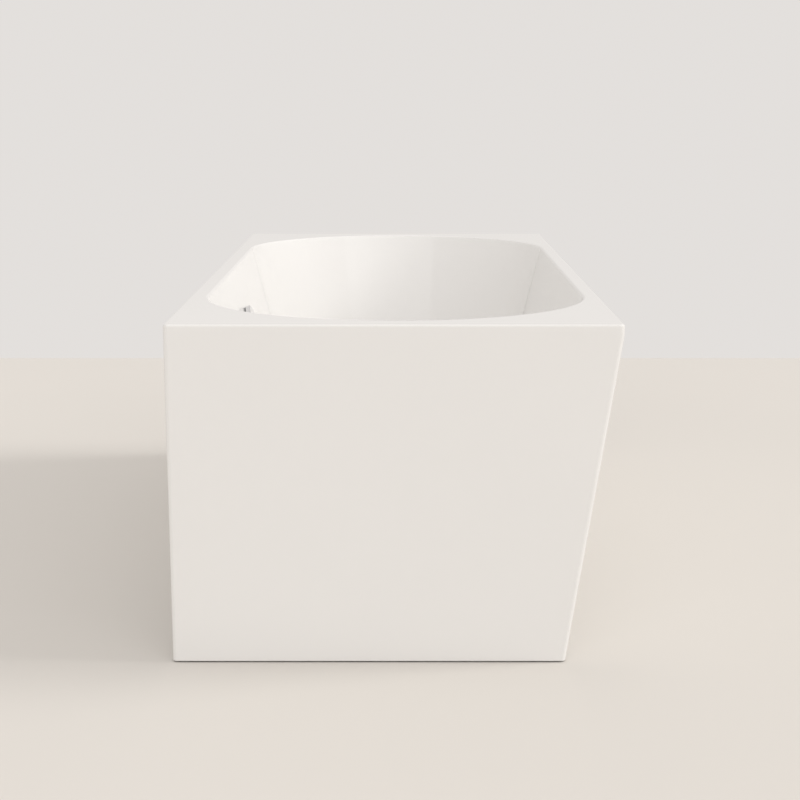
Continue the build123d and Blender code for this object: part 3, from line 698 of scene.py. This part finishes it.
def gloss_acrylic(name, tone, roughness=0.055, wave=0.12):
    """High-gloss cast acrylic: barely drifting white, long shallow waves, a trace of dust."""
    material, tree, shader = new_material(name, roughness)
    space = object_space(tree)
    drift = use_group(tree, "tone", space, Colour=tone, Depth=0.018, Size=3.0)
    dust = use_group(tree, "dust", space, Amount=0.05)
    tree.links.new(drift["Colour"], shader.inputs["Base Color"])
    dulled = calculate(tree, "MULTIPLY_ADD", dust["Mask"], 0.6, roughness)
    tree.links.new(dulled, shader.inputs["Roughness"])
    relief = use_group(tree, "relief", space, Wave_size=5.0, Pebble_size=260.0, Pebble_share=0.015)
    raise_surface(tree, shader, relief["Height"], wave, 0.001)
    return material


def fibre_backing(name, tone):
    """Glass-fibre mat in resin, on the sheet's hidden side."""
    material, tree, shader = new_material(name, 0.4)
    space = object_space(tree)
    fibre = use_group(tree, "fibre", space, Strand_size=60.0)
    pale = mix_colours(tree, fibre["Mask"], tuple(0.78 * part for part in tone), tone)
    drift = use_group(tree, "tone", space, Colour=pale, Depth=0.16, Size=7.0)
    tree.links.new(drift["Colour"], shader.inputs["Base Color"])
    tree.links.new(spread(tree, fibre["Mask"], 0, 1, 0.34, 0.6), shader.inputs["Roughness"])
    raise_surface(tree, shader, fibre["Height"], 0.7, 0.0008)
    return material


def plated(name, tone, roughness, drawn_out=None, spots=0.0):
    """Plated or drawn metal, with fine lines and slight clouding."""
    material, tree, shader = new_material(name, roughness, metallic=1.0)
    space = object_space(tree)
    drift = use_group(tree, "tone", space, Colour=tone, Depth=0.06 + spots, Size=22.0)
    tree.links.new(drift["Colour"], shader.inputs["Base Color"])
    if drawn_out is None:
        cloud = spread(tree, noise(tree, space, 60.0, 4), 0.3, 0.7, roughness * 0.8, roughness * 1.5)
        tree.links.new(cloud, shader.inputs["Roughness"])
        relief = use_group(tree, "relief", space, Wave_size=120.0, Pebble_size=900.0, Pebble_share=0.3)
        raise_surface(tree, shader, relief["Height"], 0.04, 0.0002)
        return material
    lines = use_group(tree, "brushed", space, Stretch=drawn_out)
    tree.links.new(
        spread(tree, lines["Mask"], 0, 1, roughness * 0.75, roughness * 1.35), shader.inputs["Roughness"]
    )
    raise_surface(tree, shader, lines["Height"], 0.25, 0.0001)
    return material


def moulded(name, tone, roughness, dust=0.15):
    """Injection-moulded plastic or rubber, with a fine pebble and some dust."""
    material, tree, shader = new_material(name, roughness)
    space = object_space(tree)
    drift = use_group(tree, "tone", space, Colour=tone, Depth=0.1, Size=30.0)
    settled = use_group(tree, "dust", space, Amount=dust)
    dusty = mix_colours(tree, settled["Mask"], drift["Colour"], (0.5, 0.48, 0.45))
    tree.links.new(dusty, shader.inputs["Base Color"])
    tree.links.new(spread(tree, drift["Mask"], 0, 1, roughness, roughness * 1.25), shader.inputs["Roughness"])
    relief = use_group(tree, "relief", space, Wave_size=90.0, Pebble_size=1500.0, Pebble_share=0.8)
    raise_surface(tree, shader, relief["Height"], 0.18, 0.0003)
    return material


def timber(name, light, dark, turn, ring_spacing=60.0):
    """Planed softwood, with its rings along one direction of the board."""
    material, tree, shader = new_material(name, 0.55)
    space = tree.nodes.new("ShaderNodeMapping")
    space.inputs["Rotation"].default_value = turn
    space.inputs["Location"].default_value = (0.31, 0.0, -0.22)
    tree.links.new(object_space(tree), space.inputs["Vector"])
    grain = use_group(tree, "grain", space.outputs[0], Light=light, Dark=dark, Ring_spacing=ring_spacing)
    drift = use_group(tree, "tone", space.outputs[0], Colour=grain["Colour"], Depth=0.14, Size=5.0)
    tree.links.new(drift["Colour"], shader.inputs["Base Color"])
    tree.links.new(spread(tree, grain["Height"], 0, 1, 0.5, 0.7), shader.inputs["Roughness"])
    raise_surface(tree, shader, grain["Height"], 0.3, 0.0005)
    return material


def plywood(name, light, dark, ply):
    """Birch plywood: grain on the faces, and glue lines through the thickness."""
    material, tree, shader = new_material(name, 0.6)
    space = object_space(tree)
    grain = use_group(tree, "grain", space, Light=light, Dark=dark, Ring_spacing=9.0)
    parts = tree.nodes.new("ShaderNodeSeparateXYZ")
    tree.links.new(space, parts.inputs[0])
    layer = calculate(tree, "PINGPONG", parts.outputs["Z"], ply)
    line = spread(tree, layer, 0.0, ply * 0.2, 0.75, 0.0)
    facing = tree.nodes.new("ShaderNodeSeparateXYZ")
    tree.links.new(tree.nodes.new("ShaderNodeNewGeometry").outputs["Normal"], facing.inputs[0])
    edge = calculate(tree, "LESS_THAN", calculate(tree, "ABSOLUTE", facing.outputs["Z"]), 0.5)
    shown = calculate(tree, "MULTIPLY", line, edge)
    tone = mix_colours(tree, shown, grain["Colour"], dark)
    tree.links.new(tone, shader.inputs["Base Color"])
    tree.links.new(spread(tree, grain["Height"], 0, 1, 0.55, 0.75), shader.inputs["Roughness"])
    raise_surface(tree, shader, grain["Height"], 0.25, 0.0004)
    return material


def plain_stage(name, tone, roughness):
    """A pale matt surface for the stage."""
    material, tree, shader = new_material(name, roughness, specular=0.2)
    space = object_space(tree)
    drift = use_group(tree, "tone", space, Colour=tone, Depth=0.02, Size=0.8)
    tree.links.new(drift["Colour"], shader.inputs["Base Color"])
    relief = use_group(tree, "relief", space, Wave_size=3.0, Pebble_size=300.0, Pebble_share=0.4)
    raise_surface(tree, shader, relief["Height"], 0.05, 0.0005)
    return material


materials = {}


class MATERIAL_OT_tub_finishes(bpy.types.Operator):
    """Makes every finish, and gives the frame's own nodes theirs"""

    bl_idname = "material.tub_finishes"
    bl_label = "Finishes"

    def execute(self, context):
        f = context.scene.tub_finishes
        materials.update(
            {
                "white_acrylic": gloss_acrylic("Gloss acrylic", f.acrylic),
                "backing": fibre_backing("Fibre backing", f.backing),
                "chrome": plated("Polished chrome", f.chrome, 0.06),
                "zinc_steel": plated("Zinc-plated steel", f.zinc, 0.3, (1, 40, 40), spots=0.12),
                "spring_steel": plated("Drawn spring wire", f.steel_wire, 0.3, (40, 40, 2)),
                "brass": plated("Turned brass", f.brass, 0.24, (2, 2, 70)),
                "black_rubber": moulded("Moulded rubber", f.rubber, 0.55),
                "grey_plastic": moulded("Grey plastic", f.grey_plastic, 0.38),
                "white_plastic": moulded("White plastic", f.white_plastic, 0.34),
                "pine_batten": timber("Pine, along the tub", f.pine_light, f.pine_dark, (0.02, 0, 0.03)),
                "pine_across": timber(
                    "Pine, across the tub", f.pine_light, f.pine_dark, (0.02, 0, math.radians(90))
                ),
                "birch_board": plywood("Birch plywood", f.birch_light, f.birch_dark, 1.5 * MM),
            }
        )
        across = ("rim_batten_near", "rim_batten_far", "skirt_batten_near", "skirt_batten_far")
        for part in frame["record"]["subparts"]:
            key = "pine_across" if part["node"] in across else part["material_slot"]
            node = frame["nodes"][part["node"]]
            for slot in node.material_slots:
                slot.material = materials[key]
        return {"FINISHED"}


# ---- The two shells -----------------------------------------------------------------------------


def well_outline(margin, z):
    """The well's outline at a height: (radius, half the straight length), with a margin round it."""
    s = sizes()
    top_radius = (WIDTH - s.back_rim - s.front_rim) / 2 + margin
    top_straight = LENGTH / 2 - s.end_rim + margin - top_radius
    floor_radius = s.floor_half_width + margin
    floor_straight = s.floor_half_length - s.floor_half_width
    low = SHELL_LOWEST.z + s.sheet - margin
    share = (HEIGHT - z) / (HEIGHT - low)
    radius = top_radius + (floor_radius - top_radius) * share
    return radius, top_straight + (floor_straight - top_straight) * share


def well_centre():
    s = sizes()
    return (s.back_rim - s.front_rim) / 2


def reshape(piece, chosen, z, old, new):
    """Changes the outline of some vertices from one (radius, straight) to another, half by half."""
    x = well_centre()
    growth = new[0] / old[0]
    for side in (1, -1):
        must_pick(piece, "verts", lambda vert: vert.index in chosen and vert.co.y * side > NEAR)
        resize(growth, growth, 1, (x, side * old[1], z))
        move(y=side * (new[1] - old[1]))
    if pick(piece, "verts", lambda vert: vert.index in chosen and abs(vert.co.y) <= NEAR):
        resize(growth, 1, 1, (x, 0, z))
    pick(piece, "edges", lambda edge: all(vert.index in chosen for vert in edge.verts))


def extrude_outline(piece, drop, z, old, new):
    """Extrudes the selected outline downwards, and gives its new rim another shape."""
    extrude_rim(z=-drop)
    grid = bmesh.from_edit_mesh(piece.data)
    chosen = {vert.index for vert in grid.verts if vert.select}
    reshape(piece, chosen, z, old, new)


def well_surface(name, margin, top, low):
    """The well's wall and floor as one open surface, with a narrow collar of deck round its mouth."""
    mouth, floor = well_outline(margin, top), well_outline(margin, low)
    collar = (mouth[0] + MOUTH_COLLAR, mouth[1])
    clear_selection()
    bpy.ops.mesh.primitive_circle_add(
        vertices=sizes().outline_points, radius=collar[0], location=(well_centre(), 0, top)
    )
    piece = begin(name)
    for side in (1, -1):
        must_pick(piece, "verts", lambda vert: vert.co.y * side > NEAR)
        move(y=side * collar[1])
    bpy.ops.mesh.select_all(action="SELECT")
    extrude_outline(piece, 0, top, collar, mouth)
    extrude_outline(piece, top - low, low, mouth, floor)
    extrude_outline(piece, 0, low, floor, (fittings().drain_hole * DRAIN_DISC, 0.0))
    return close(piece)


def rounded_frame(name, z, inset=0.0):
    """The deck's outer outline, with rounded corners, as a face at one height."""
    clear_selection()
    bpy.ops.mesh.primitive_plane_add(size=1, location=(0, 0, z))
    bpy.context.object.scale = (WIDTH - 2 * inset, LENGTH - 2 * inset, 1)
    piece = begin(name)
    bpy.ops.mesh.select_all(action="SELECT")
    bpy.ops.mesh.bevel(offset=sizes().corner - inset, segments=8, affect="VERTICES")
    return close(piece)


def deck_side():
    """The outlines round the deck's edge: a quarter round from its top, then down to its underside."""
    s = sizes()
    frames = []
    for step in range(EDGE_STEPS + 1):
        turn = math.radians(90) * step / EDGE_STEPS
        inset = s.deck_edge * (1 - math.sin(turn))
        drop = s.deck_edge * (1 - math.cos(turn))
        frames.append(rounded_frame("edge", HEIGHT - drop, inset))
    frames.append(rounded_frame("edge", HEIGHT - s.sheet))
    return frames


class MESH_OT_tub_basin(bpy.types.Operator):
    """Models the well and the deck as one moulding, with its drain and overflow holes"""

    bl_idname = "mesh.tub_basin"
    bl_label = "Basin"

    def execute(self, context):
        s = sizes()
        floor_z = SHELL_LOWEST.z + s.sheet
        deck_low = HEIGHT - s.sheet
        inside = well_surface("inside", 0.0, HEIGHT, floor_z)
        outside = well_surface("outside", s.sheet, deck_low, SHELL_LOWEST.z)
        basin = join("basin", [inside, outside, *deck_side()])
        bpy.ops.object.mode_set(mode="EDIT")
        pick(basin, "faces", lambda face: len(face.verts) > 8)
        bpy.ops.mesh.delete(type="ONLY_FACE")
        for z in (floor_z, SHELL_LOWEST.z):
            must_pick(basin, "edges", rim_at(z))
            extrude_rim()
            resize(1 / DRAIN_DISC, 1 / DRAIN_DISC, 1, (well_centre(), 0, z))
        must_pick(basin, "edges", lambda e: rim_at(floor_z)(e) or rim_at(SHELL_LOWEST.z)(e))
        bpy.ops.mesh.bridge_edge_loops()
        for z in (HEIGHT, deck_low):
            must_pick(basin, "edges", lambda e: open_at(e, z))
            bpy.ops.mesh.fill(use_beauty=True)
        must_pick(basin, "edges", lambda e: e.is_boundary or e.is_wire)
        bpy.ops.mesh.bridge_edge_loops()
        face_outwards()
        self.round_edges(basin, floor_z)
        close(basin)
        self.cut_overflow(basin)
        smooth(basin, 30)
        self.finish_sides(basin)
        stand_for(basin, "basin_shell", None)
        return {"FINISHED"}

    def round_edges(self, basin, floor_z):
        """Rounds the floor inside and outside, and the well's edge."""
        s = sizes()
        for z, margin in ((floor_z, 0.0), (SHELL_LOWEST.z, s.sheet)):
            outline = well_outline(margin, z)
            must_pick(basin, "edges", lambda e: on_outline(e, z, outline))
            bpy.ops.mesh.bevel(offset=s.floor_blend, segments=20, profile=0.5, clamp_overlap=False)
        mouth = well_outline(0.0, HEIGHT)
        must_pick(basin, "edges", lambda e: on_outline(e, HEIGHT, mouth))
        bpy.ops.mesh.bevel(offset=s.opening_edge, segments=6, profile=0.5, clamp_overlap=False)

    def cut_overflow(self, basin):
        """Cuts the round overflow hole through the back wall."""
        f = fittings()
        reach = 40 * MM
        drill = turned(
            "drill",
            [(0, -reach), (f.overflow_hole, -reach), (f.overflow_hole, reach / 2), (0, reach / 2)],
            64,
            overflow_axis(),
        )
        cut(basin, drill)

    def finish_sides(self, basin):
        """Puts the fibre backing on every face that looks down, and acrylic on the rest."""
        basin.data.materials.clear()
        basin.data.materials.append(materials["white_acrylic"])
        basin.data.materials.append(materials["backing"])
        for face in basin.data.polygons:
            face.material_index = int(face.normal.z < -0.03)


def open_at(edge, z):
    """Whether an edge belongs to one of the outlines round the deck at a height, with no deck face yet."""
    return len(edge.link_faces) < 2 and level(z)(edge.verts[0]) and level(z)(edge.verts[1])


def on_outline(edge, z, outline):
    """Whether an edge lies on the well's outline of (radius, straight) at a height."""
    radius, straight = outline

    def lies_on(point):
        beyond = max(abs(point.y) - straight, 0.0)
        reach = math.hypot(point.x - well_centre(), beyond)
        return abs(point.z - z) < NEAR and abs(reach - radius) < 20 * NEAR

    return all(lies_on(vert.co) for vert in edge.verts)


class MESH_OT_tub_skirt(bpy.types.Operator):
    """Models the outer skirt: upright back, sloping front, drafted ends, and a glue flange on top"""

    bl_idname = "mesh.tub_skirt"
    bl_label = "Skirt"

    def execute(self, context):
        s = sizes()
        low, high = SKIRT_LOWEST.z, SKIRT_HIGHEST.z
        band = high - s.front_band
        clear_selection()
        bpy.ops.mesh.primitive_cube_add(size=1, location=(0, 0, (low + high) / 2))
        bpy.context.object.scale = (WIDTH, LENGTH, high - low)
        skirt = begin("skirt")
        bpy.ops.mesh.select_all(action="SELECT")
        bpy.ops.mesh.bisect(plane_co=(0, 0, band), plane_no=(0, 0, 1))
        self.draw_in_foot(skirt, low, band)
        must_pick(skirt, "edges", self.is_upright)
        chord = s.corner * math.sqrt(2)
        bpy.ops.mesh.bevel(offset=chord, offset_type="WIDTH", segments=8, clamp_overlap=False)
        must_pick(skirt, "edges", lambda e: level(low)(e.verts[0]) and level(low)(e.verts[1]))
        bpy.ops.mesh.bevel(offset=s.foot_edge, segments=3, clamp_overlap=False)
        must_pick(skirt, "faces", lambda f: len(f.verts) > 8)
        bpy.ops.mesh.delete(type="ONLY_FACE")
        flange = 2 * (s.sheet + s.glue_flange)
        must_pick(skirt, "edges", rim_at(high))
        extrude_rim()
        resize(1 - flange / WIDTH, 1 - flange / LENGTH, 1, (0, 0, high))
        close(skirt)
        apply_modifier(
            skirt, "SOLIDIFY", thickness=s.sheet, offset=-1, use_even_offset=True, use_quality_normals=True
        )
        smooth(skirt, 30)
        self.finish_sides(skirt)
        stand_for(skirt, "outer_skirt", None)
        return {"FINISHED"}

    def draw_in_foot(self, skirt, low, band):
        """Moves the foot of the front and of both ends inwards."""
        s = sizes()
        share = (band - low) / band
        must_pick(skirt, "verts", lambda v: level(low)(v) and v.co.x > 0)
        move(x=-s.front_taper * share)
        must_pick(skirt, "verts", level(low))
        resize(1, 1 - 2 * s.end_draft * share / LENGTH, 1, (0, 0, low))

    def is_upright(self, edge):
        """Whether an edge is one of the four corners, in either of its two stretches."""
        return abs(edge.verts[0].co.z - edge.verts[1].co.z) > NEAR

    def finish_sides(self, skirt):
        """Puts the fibre backing on the faces that look inwards."""
        skirt.data.materials.clear()
        skirt.data.materials.append(materials["white_acrylic"])
        skirt.data.materials.append(materials["backing"])
        for face in skirt.data.polygons:
            centre = face.center
            inward = face.normal.x * centre.x / WIDTH**2 + face.normal.y * centre.y / LENGTH**2 < 0
            face.material_index = int(inward and abs(face.normal.z) < 0.6 or face.normal.z < -0.9)


# ---- Overflow -----------------------------------------------------------------------------------


def overflow_axis():
    """The place of the overflow on the back wall: Z out into the well, Y up the wall."""
    s = sizes()
    f = fittings()
    top_radius = (WIDTH - s.back_rim - s.front_rim) / 2
    floor_z = SHELL_LOWEST.z + s.sheet
    slope = (top_radius - s.floor_half_width) / (HEIGHT - floor_z)
    centre = Vector((well_centre() - top_radius + slope * f.overflow_depth, 0, HEIGHT - f.overflow_depth))
    out = Vector((1, 0, slope)).normalized()
    along = Vector((0, 1, 0))
    up = out.cross(along)
    turn = Matrix((along, up, out)).transposed().to_4x4()
    return Matrix.Translation(centre) @ turn


class MESH_OT_tub_overflow(bpy.types.Operator):
    """Models the overflow's round cover, with its inlet along the lower edge"""

    bl_idname = "mesh.tub_overflow"
    bl_label = "Overflow cover"

    def execute(self, context):
        f = fittings()
        inner = f.cover_radius - f.cover_sheet
        ceiling = f.cover_high - f.cover_sheet - f.cover_lip
        cover = turned(
            "overflow_cap",
            [
                (0, f.cover_high),
                (f.cover_radius, f.cover_high),
                (f.cover_radius, f.cover_low),
                (inner, f.cover_low),
                (inner, ceiling),
                (0, ceiling),
            ],
            96,
            bevels=(
                (f.cover_radius, f.cover_high, f.cover_edge),
                (f.cover_radius, f.cover_low, f.cover_lip),
            ),
        )
        clear_selection()
        bpy.ops.mesh.primitive_cube_add(size=1, location=(0, -f.cover_radius, f.cover_low))
        mouth = bpy.context.object
        mouth.scale = (2 * f.mouth_half_width, 2 * (f.cover_radius - f.mouth_top), 2 * f.mouth_depth)
        begin("mouth")
        must_pick(mouth, "edges", lambda e: abs(e.verts[0].co.y - e.verts[1].co.y) > NEAR)
        bpy.ops.mesh.bevel(offset=f.mouth_corner, segments=5)
        close(mouth)
        cut(cover, mouth)
        place(cover, overflow_axis())
        smooth(cover, 30)
        stand_for(cover, "overflow_cover", materials["chrome"])
        return {"FINISHED"}


# ---- Waste --------------------------------------------------------------------------------------


class MESH_OT_tub_waste(bpy.types.Operator):
    """Models the drain's domed plug, with its guide skirt and stem"""

    bl_idname = "mesh.tub_waste"
    bl_label = "Waste plug"

    def execute(self, context):
        f = fittings()
        low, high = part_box("drain_plug")
        radius = (high.x - low.x) / 2
        edge = high.z - f.plug_edge
        face = self.face_outline(radius, high.z, edge)
        ceiling = edge - SMALL_EDGE
        skirt_foot = edge - f.plug_skirt_depth
        inner = f.plug_skirt - f.plug_skirt_wall
        under = [
            (f.plug_skirt, edge),
            (f.plug_skirt, skirt_foot),
            (inner, skirt_foot),
            (inner, ceiling),
            (f.stem_radius, ceiling),
            (f.stem_radius, low.z + SMALL_EDGE),
            (f.stem_radius - SMALL_EDGE, low.z),
            (0, low.z),
        ]
        plug = turned(
            "plug_cap", face + under, f.turned_points, Matrix.Translation((well_centre(), 0, 0))
        )
        smooth(plug, 35)
        stand_for(plug, "drain_plug", materials["chrome"])
        return {"FINISHED"}

    def face_outline(self, radius, crown, edge):
        """The plug's face from its middle outwards: a shallow dome and a rolled edge."""
        f = fittings()
        flat = radius * DOME_SHARE
        shares = [step / DOME_STEPS for step in range(DOME_STEPS)]
        dome = [(flat * share, crown - f.plug_crown * share**2) for share in shares]
        return dome + [
            (radius - 1 * MM, crown - 2.0 * MM),
            (radius, edge + 1.5 * MM),
            (radius - SMALL_EDGE, edge),
        ]


# ---- Levelling feet -----------------------------------------------------------------------------


class MESH_OT_tub_feet(bpy.types.Operator):
    """Models the ribbed rubber pads and the threaded studs of the levelling feet"""

    bl_idname = "mesh.tub_feet"
    bl_label = "Levelling feet"

    def execute(self, context):
        pad, stud = self.make_pad(), self.make_stud()
        for number in range(1, 7):
            low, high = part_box(f"foot_pad_{number}")
            offset = Vector(((low.x + high.x) / 2, (low.y + high.y) / 2, 0))
            one_pad = copy_to(pad, f"pad_{number}", offset)
            stand_for(one_pad, f"foot_pad_{number}", materials["black_rubber"])
            one_stud = copy_to(stud, f"stud_{number}", offset)
            stand_for(one_stud, f"foot_stud_{number}", materials["zinc_steel"])
        for pattern in (pad, stud):
            bpy.data.objects.remove(pattern)
        return {"FINISHED"}

    def make_pad(self):
        """A conical pad with grip ribs round it and a socket on top."""
        f = fittings()
        low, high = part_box("foot_pad_1")
        foot, top = (high.x - low.x) / 2, high.z
        neck = foot * 0.53
        first_rib, last_rib = 2 * f.pad_lip, top - f.pad_lip
        outline = [(0, 0), (foot - f.pad_lip, 0), (foot, f.pad_lip)]
        for rib in range(f.pad_ribs):
            share = (rib + 1) / (f.pad_ribs + 1)
            radius = foot + (neck - foot) * share
            z = first_rib + (last_rib - first_rib) * share
            outline += [
                (radius + f.rib_height, z - 1.3 * f.rib_height),
                (radius + 0.7 * f.rib_height, z),
                (radius - f.rib_height, z + 0.3 * f.rib_height),
            ]
        outline += [
            (neck, top - SMALL_EDGE),
            (neck - SMALL_EDGE, top),
            (f.socket_radius, top),
            (f.socket_radius, f.socket_low),
            (0, f.socket_low),
        ]
        pad = turned("pad_pattern", outline, 64)
        smooth(pad, 40)
        return pad

    def make_stud(self):
        """A stud with a plain pin, a spanner collar and a rolled thread."""
        f = fittings()
        low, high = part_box("foot_stud_1")
        root = f.shank_radius - f.thread_depth
        joint = f.collar_low + f.collar_edge
        core = turned(
            "stud_pattern",
            [
                (0, low.z),
                (f.pin_radius - SMALL_EDGE, low.z),
                (f.pin_radius, low.z + SMALL_EDGE),
                (f.pin_radius, joint),
                (root, joint + 0.1 * MM),
                (root, high.z - SMALL_EDGE),
                (root - SMALL_EDGE, high.z),
                (0, high.z),
            ],
            48,
        )
        collar = self.make_collar(f.collar_low, f.collar_high, (high.y - low.y) / 2)
        thread = self.make_thread(root, f.shank_radius, f.collar_high, high.z - f.thread_pitch)
        stud = join("stud_pattern", [core, collar, thread])
        smooth(stud, 35)
        return stud

    def make_collar(self, low, high, half_flats):
        """The six-sided collar, with its corners chamfered."""
        clear_selection()
        corner = half_flats / math.cos(math.radians(30))
        bpy.ops.mesh.primitive_cylinder_add(
            vertices=6, radius=corner, depth=high - low, location=(0, 0, (low + high) / 2)
        )
        collar = begin("collar")
        bpy.ops.mesh.select_all(action="SELECT")
        bpy.ops.transform.rotate(value=math.radians(30), orient_axis="Z", center_override=(0, 0, 0))
        bpy.ops.mesh.bevel(offset=fittings().collar_edge, segments=3)
        return close(collar)

    def make_thread(self, root, crest, low, high):
        """A helical ridge, drawn by a small triangle that climbs one pitch a turn."""
        f = fittings()
        half = f.thread_pitch * 0.42
        clear_selection()
        bpy.ops.mesh.primitive_circle_add(vertices=3, radius=half, location=(0, 0, 0))
        ridge = begin("ridge")
        bpy.ops.mesh.select_all(action="SELECT")
        bpy.ops.transform.rotate(value=math.radians(90), orient_axis="X", center_override=(0, 0, 0))
        close(ridge)
        corners = ((root - 0.2 * MM, -half), (crest, 0.0), (root - 0.2 * MM, half))
        for vert, (radius, z) in zip(ridge.data.vertices, corners):
            vert.co = (radius, 0.0, low + half + z)
        turns = int((high - low - 2 * half) / f.thread_pitch)
        apply_modifier(
            ridge,
            "SCREW",
            screw_offset=f.thread_pitch,
            iterations=turns,
            steps=24,
            render_steps=24,
            use_merge_vertices=False,
        )
        bpy.ops.object.mode_set(mode="EDIT")
        must_pick(ridge, "edges", lambda e: e.is_boundary)
        bpy.ops.mesh.fill_holes(sides=3)
        face_outwards()
        return close(ridge)


# ---- Stage --------------------------------------------------------------------------------------

KEY_FROM = (1, 0.06, 0.6)
FILL_FROM = (0.12, -1, 0.45)
SUN_DISTANCE = 3  # only for seeing the lamp's symbol, as a sun lights alike from anywhere
SENSOR = 36  # millimetres


def lamp(name, power, width, direction, tint=(1, 1, 1)):
    """A far, even lamp. The wider it is, the softer its shadows are."""
    data = bpy.data.lights.new(name, "SUN")
    data.energy = power
    data.angle = width
    data.color = tint
    body = bpy.data.objects.new(name, data)
    bpy.context.collection.objects.link(body)
    body.location = SUN_DISTANCE * Vector(direction)
    body.rotation_euler = Vector(direction).to_track_quat("Z", "Y").to_euler()
    return body


class SCENE_OT_tub_stage(bpy.types.Operator):
    """Sets the pale floor, the soft lamps and the camera"""

    bl_idname = "scene.tub_stage"
    bl_label = "Stage"

    def execute(self, context):
        s = context.scene.tub_stage
        self.make_floor(s)
        finish = context.scene.tub_finishes
        key = lamp("Key", s.key_power, s.key_width, KEY_FROM, finish.key_tint)
        key.visible_glossy = False
        lamp("Fill", s.fill_power, s.fill_width, FILL_FROM)
        world = bpy.data.worlds.new("Room")
        world.use_nodes = True
        background = world.node_tree.nodes["Background"]
        background.inputs["Color"].default_value = (*finish.backdrop, 1)
        background.inputs["Strength"].default_value = s.sky
        context.scene.world = world
        context.scene.view_settings.view_transform = "Standard"
        self.make_camera(context, s)
        return {"FINISHED"}

    def make_floor(self, s):
        """One flat sheet that ends some way behind the tub."""
        clear_selection()
        bpy.ops.mesh.primitive_plane_add(size=1, location=(0, s.floor_end - s.floor_size / 2, 0))
        bpy.context.object.scale = (s.floor_size, s.floor_size, 1)
        sheet = begin("stage_floor")
        close(sheet)
        tone = bpy.context.scene.tub_finishes.floor
        sheet.data.materials.append(plain_stage("Stage floor", tone, 0.6))

    def make_camera(self, context, s):
        data = bpy.data.cameras.new("Camera")
        data.lens = s.lens
        data.sensor_width = SENSOR
        camera = bpy.data.objects.new("Camera", data)
        context.collection.objects.link(camera)
        camera.location = (s.camera_side, -s.camera_back, s.camera_height)
        camera.rotation_euler = (math.radians(90) - s.camera_pitch, 0, 0)
        context.scene.camera = camera


# ---- The panel and the run ----------------------------------------------------------------------

OPERATORS = (
    MATERIAL_OT_tub_finishes,
    MESH_OT_tub_basin,
    MESH_OT_tub_skirt,
    MESH_OT_tub_overflow,
    MESH_OT_tub_waste,
    MESH_OT_tub_feet,
    SCENE_OT_tub_stage,
)


class VIEW3D_PT_tub(bpy.types.Panel):
    """Lists the tub's pieces"""

    bl_label = "Bathtub"
    bl_idname = "VIEW3D_PT_tub"
    bl_space_type = "VIEW_3D"
    bl_region_type = "UI"
    bl_category = "Bathtub"

    def draw(self, context):
        for operator in OPERATORS:
            self.layout.operator(operator.bl_idname)
        for name in PROPERTY_NAMES:
            settings = getattr(context.scene, name)
            box = self.layout.box()
            for prop in settings.bl_rna.properties:
                if prop.identifier not in ("rna_type", "name"):
                    box.prop(settings, prop.identifier)


PROPERTY_NAMES = ("tub_sizes", "tub_fittings", "tub_finishes", "tub_stage")


def register():
    for kind in (*GROUPS, *OPERATORS, VIEW3D_PT_tub):
        bpy.utils.register_class(kind)
    for name, group in zip(PROPERTY_NAMES, GROUPS):
        setattr(bpy.types.Scene, name, bpy.props.PointerProperty(type=group))


def unregister():
    for name in PROPERTY_NAMES:
        delattr(bpy.types.Scene, name)
    for kind in reversed((*GROUPS, *OPERATORS, VIEW3D_PT_tub)):
        bpy.utils.unregister_class(kind)


def main():
    """Builds everything in order."""
    register()
    bpy.ops.material.tub_finishes()
    bpy.ops.mesh.tub_basin()
    bpy.ops.mesh.tub_skirt()
    bpy.ops.mesh.tub_overflow()
    bpy.ops.mesh.tub_waste()
    bpy.ops.mesh.tub_feet()
    bpy.ops.scene.tub_stage()
    clear_selection()


if __name__ == "__main__":
    main()
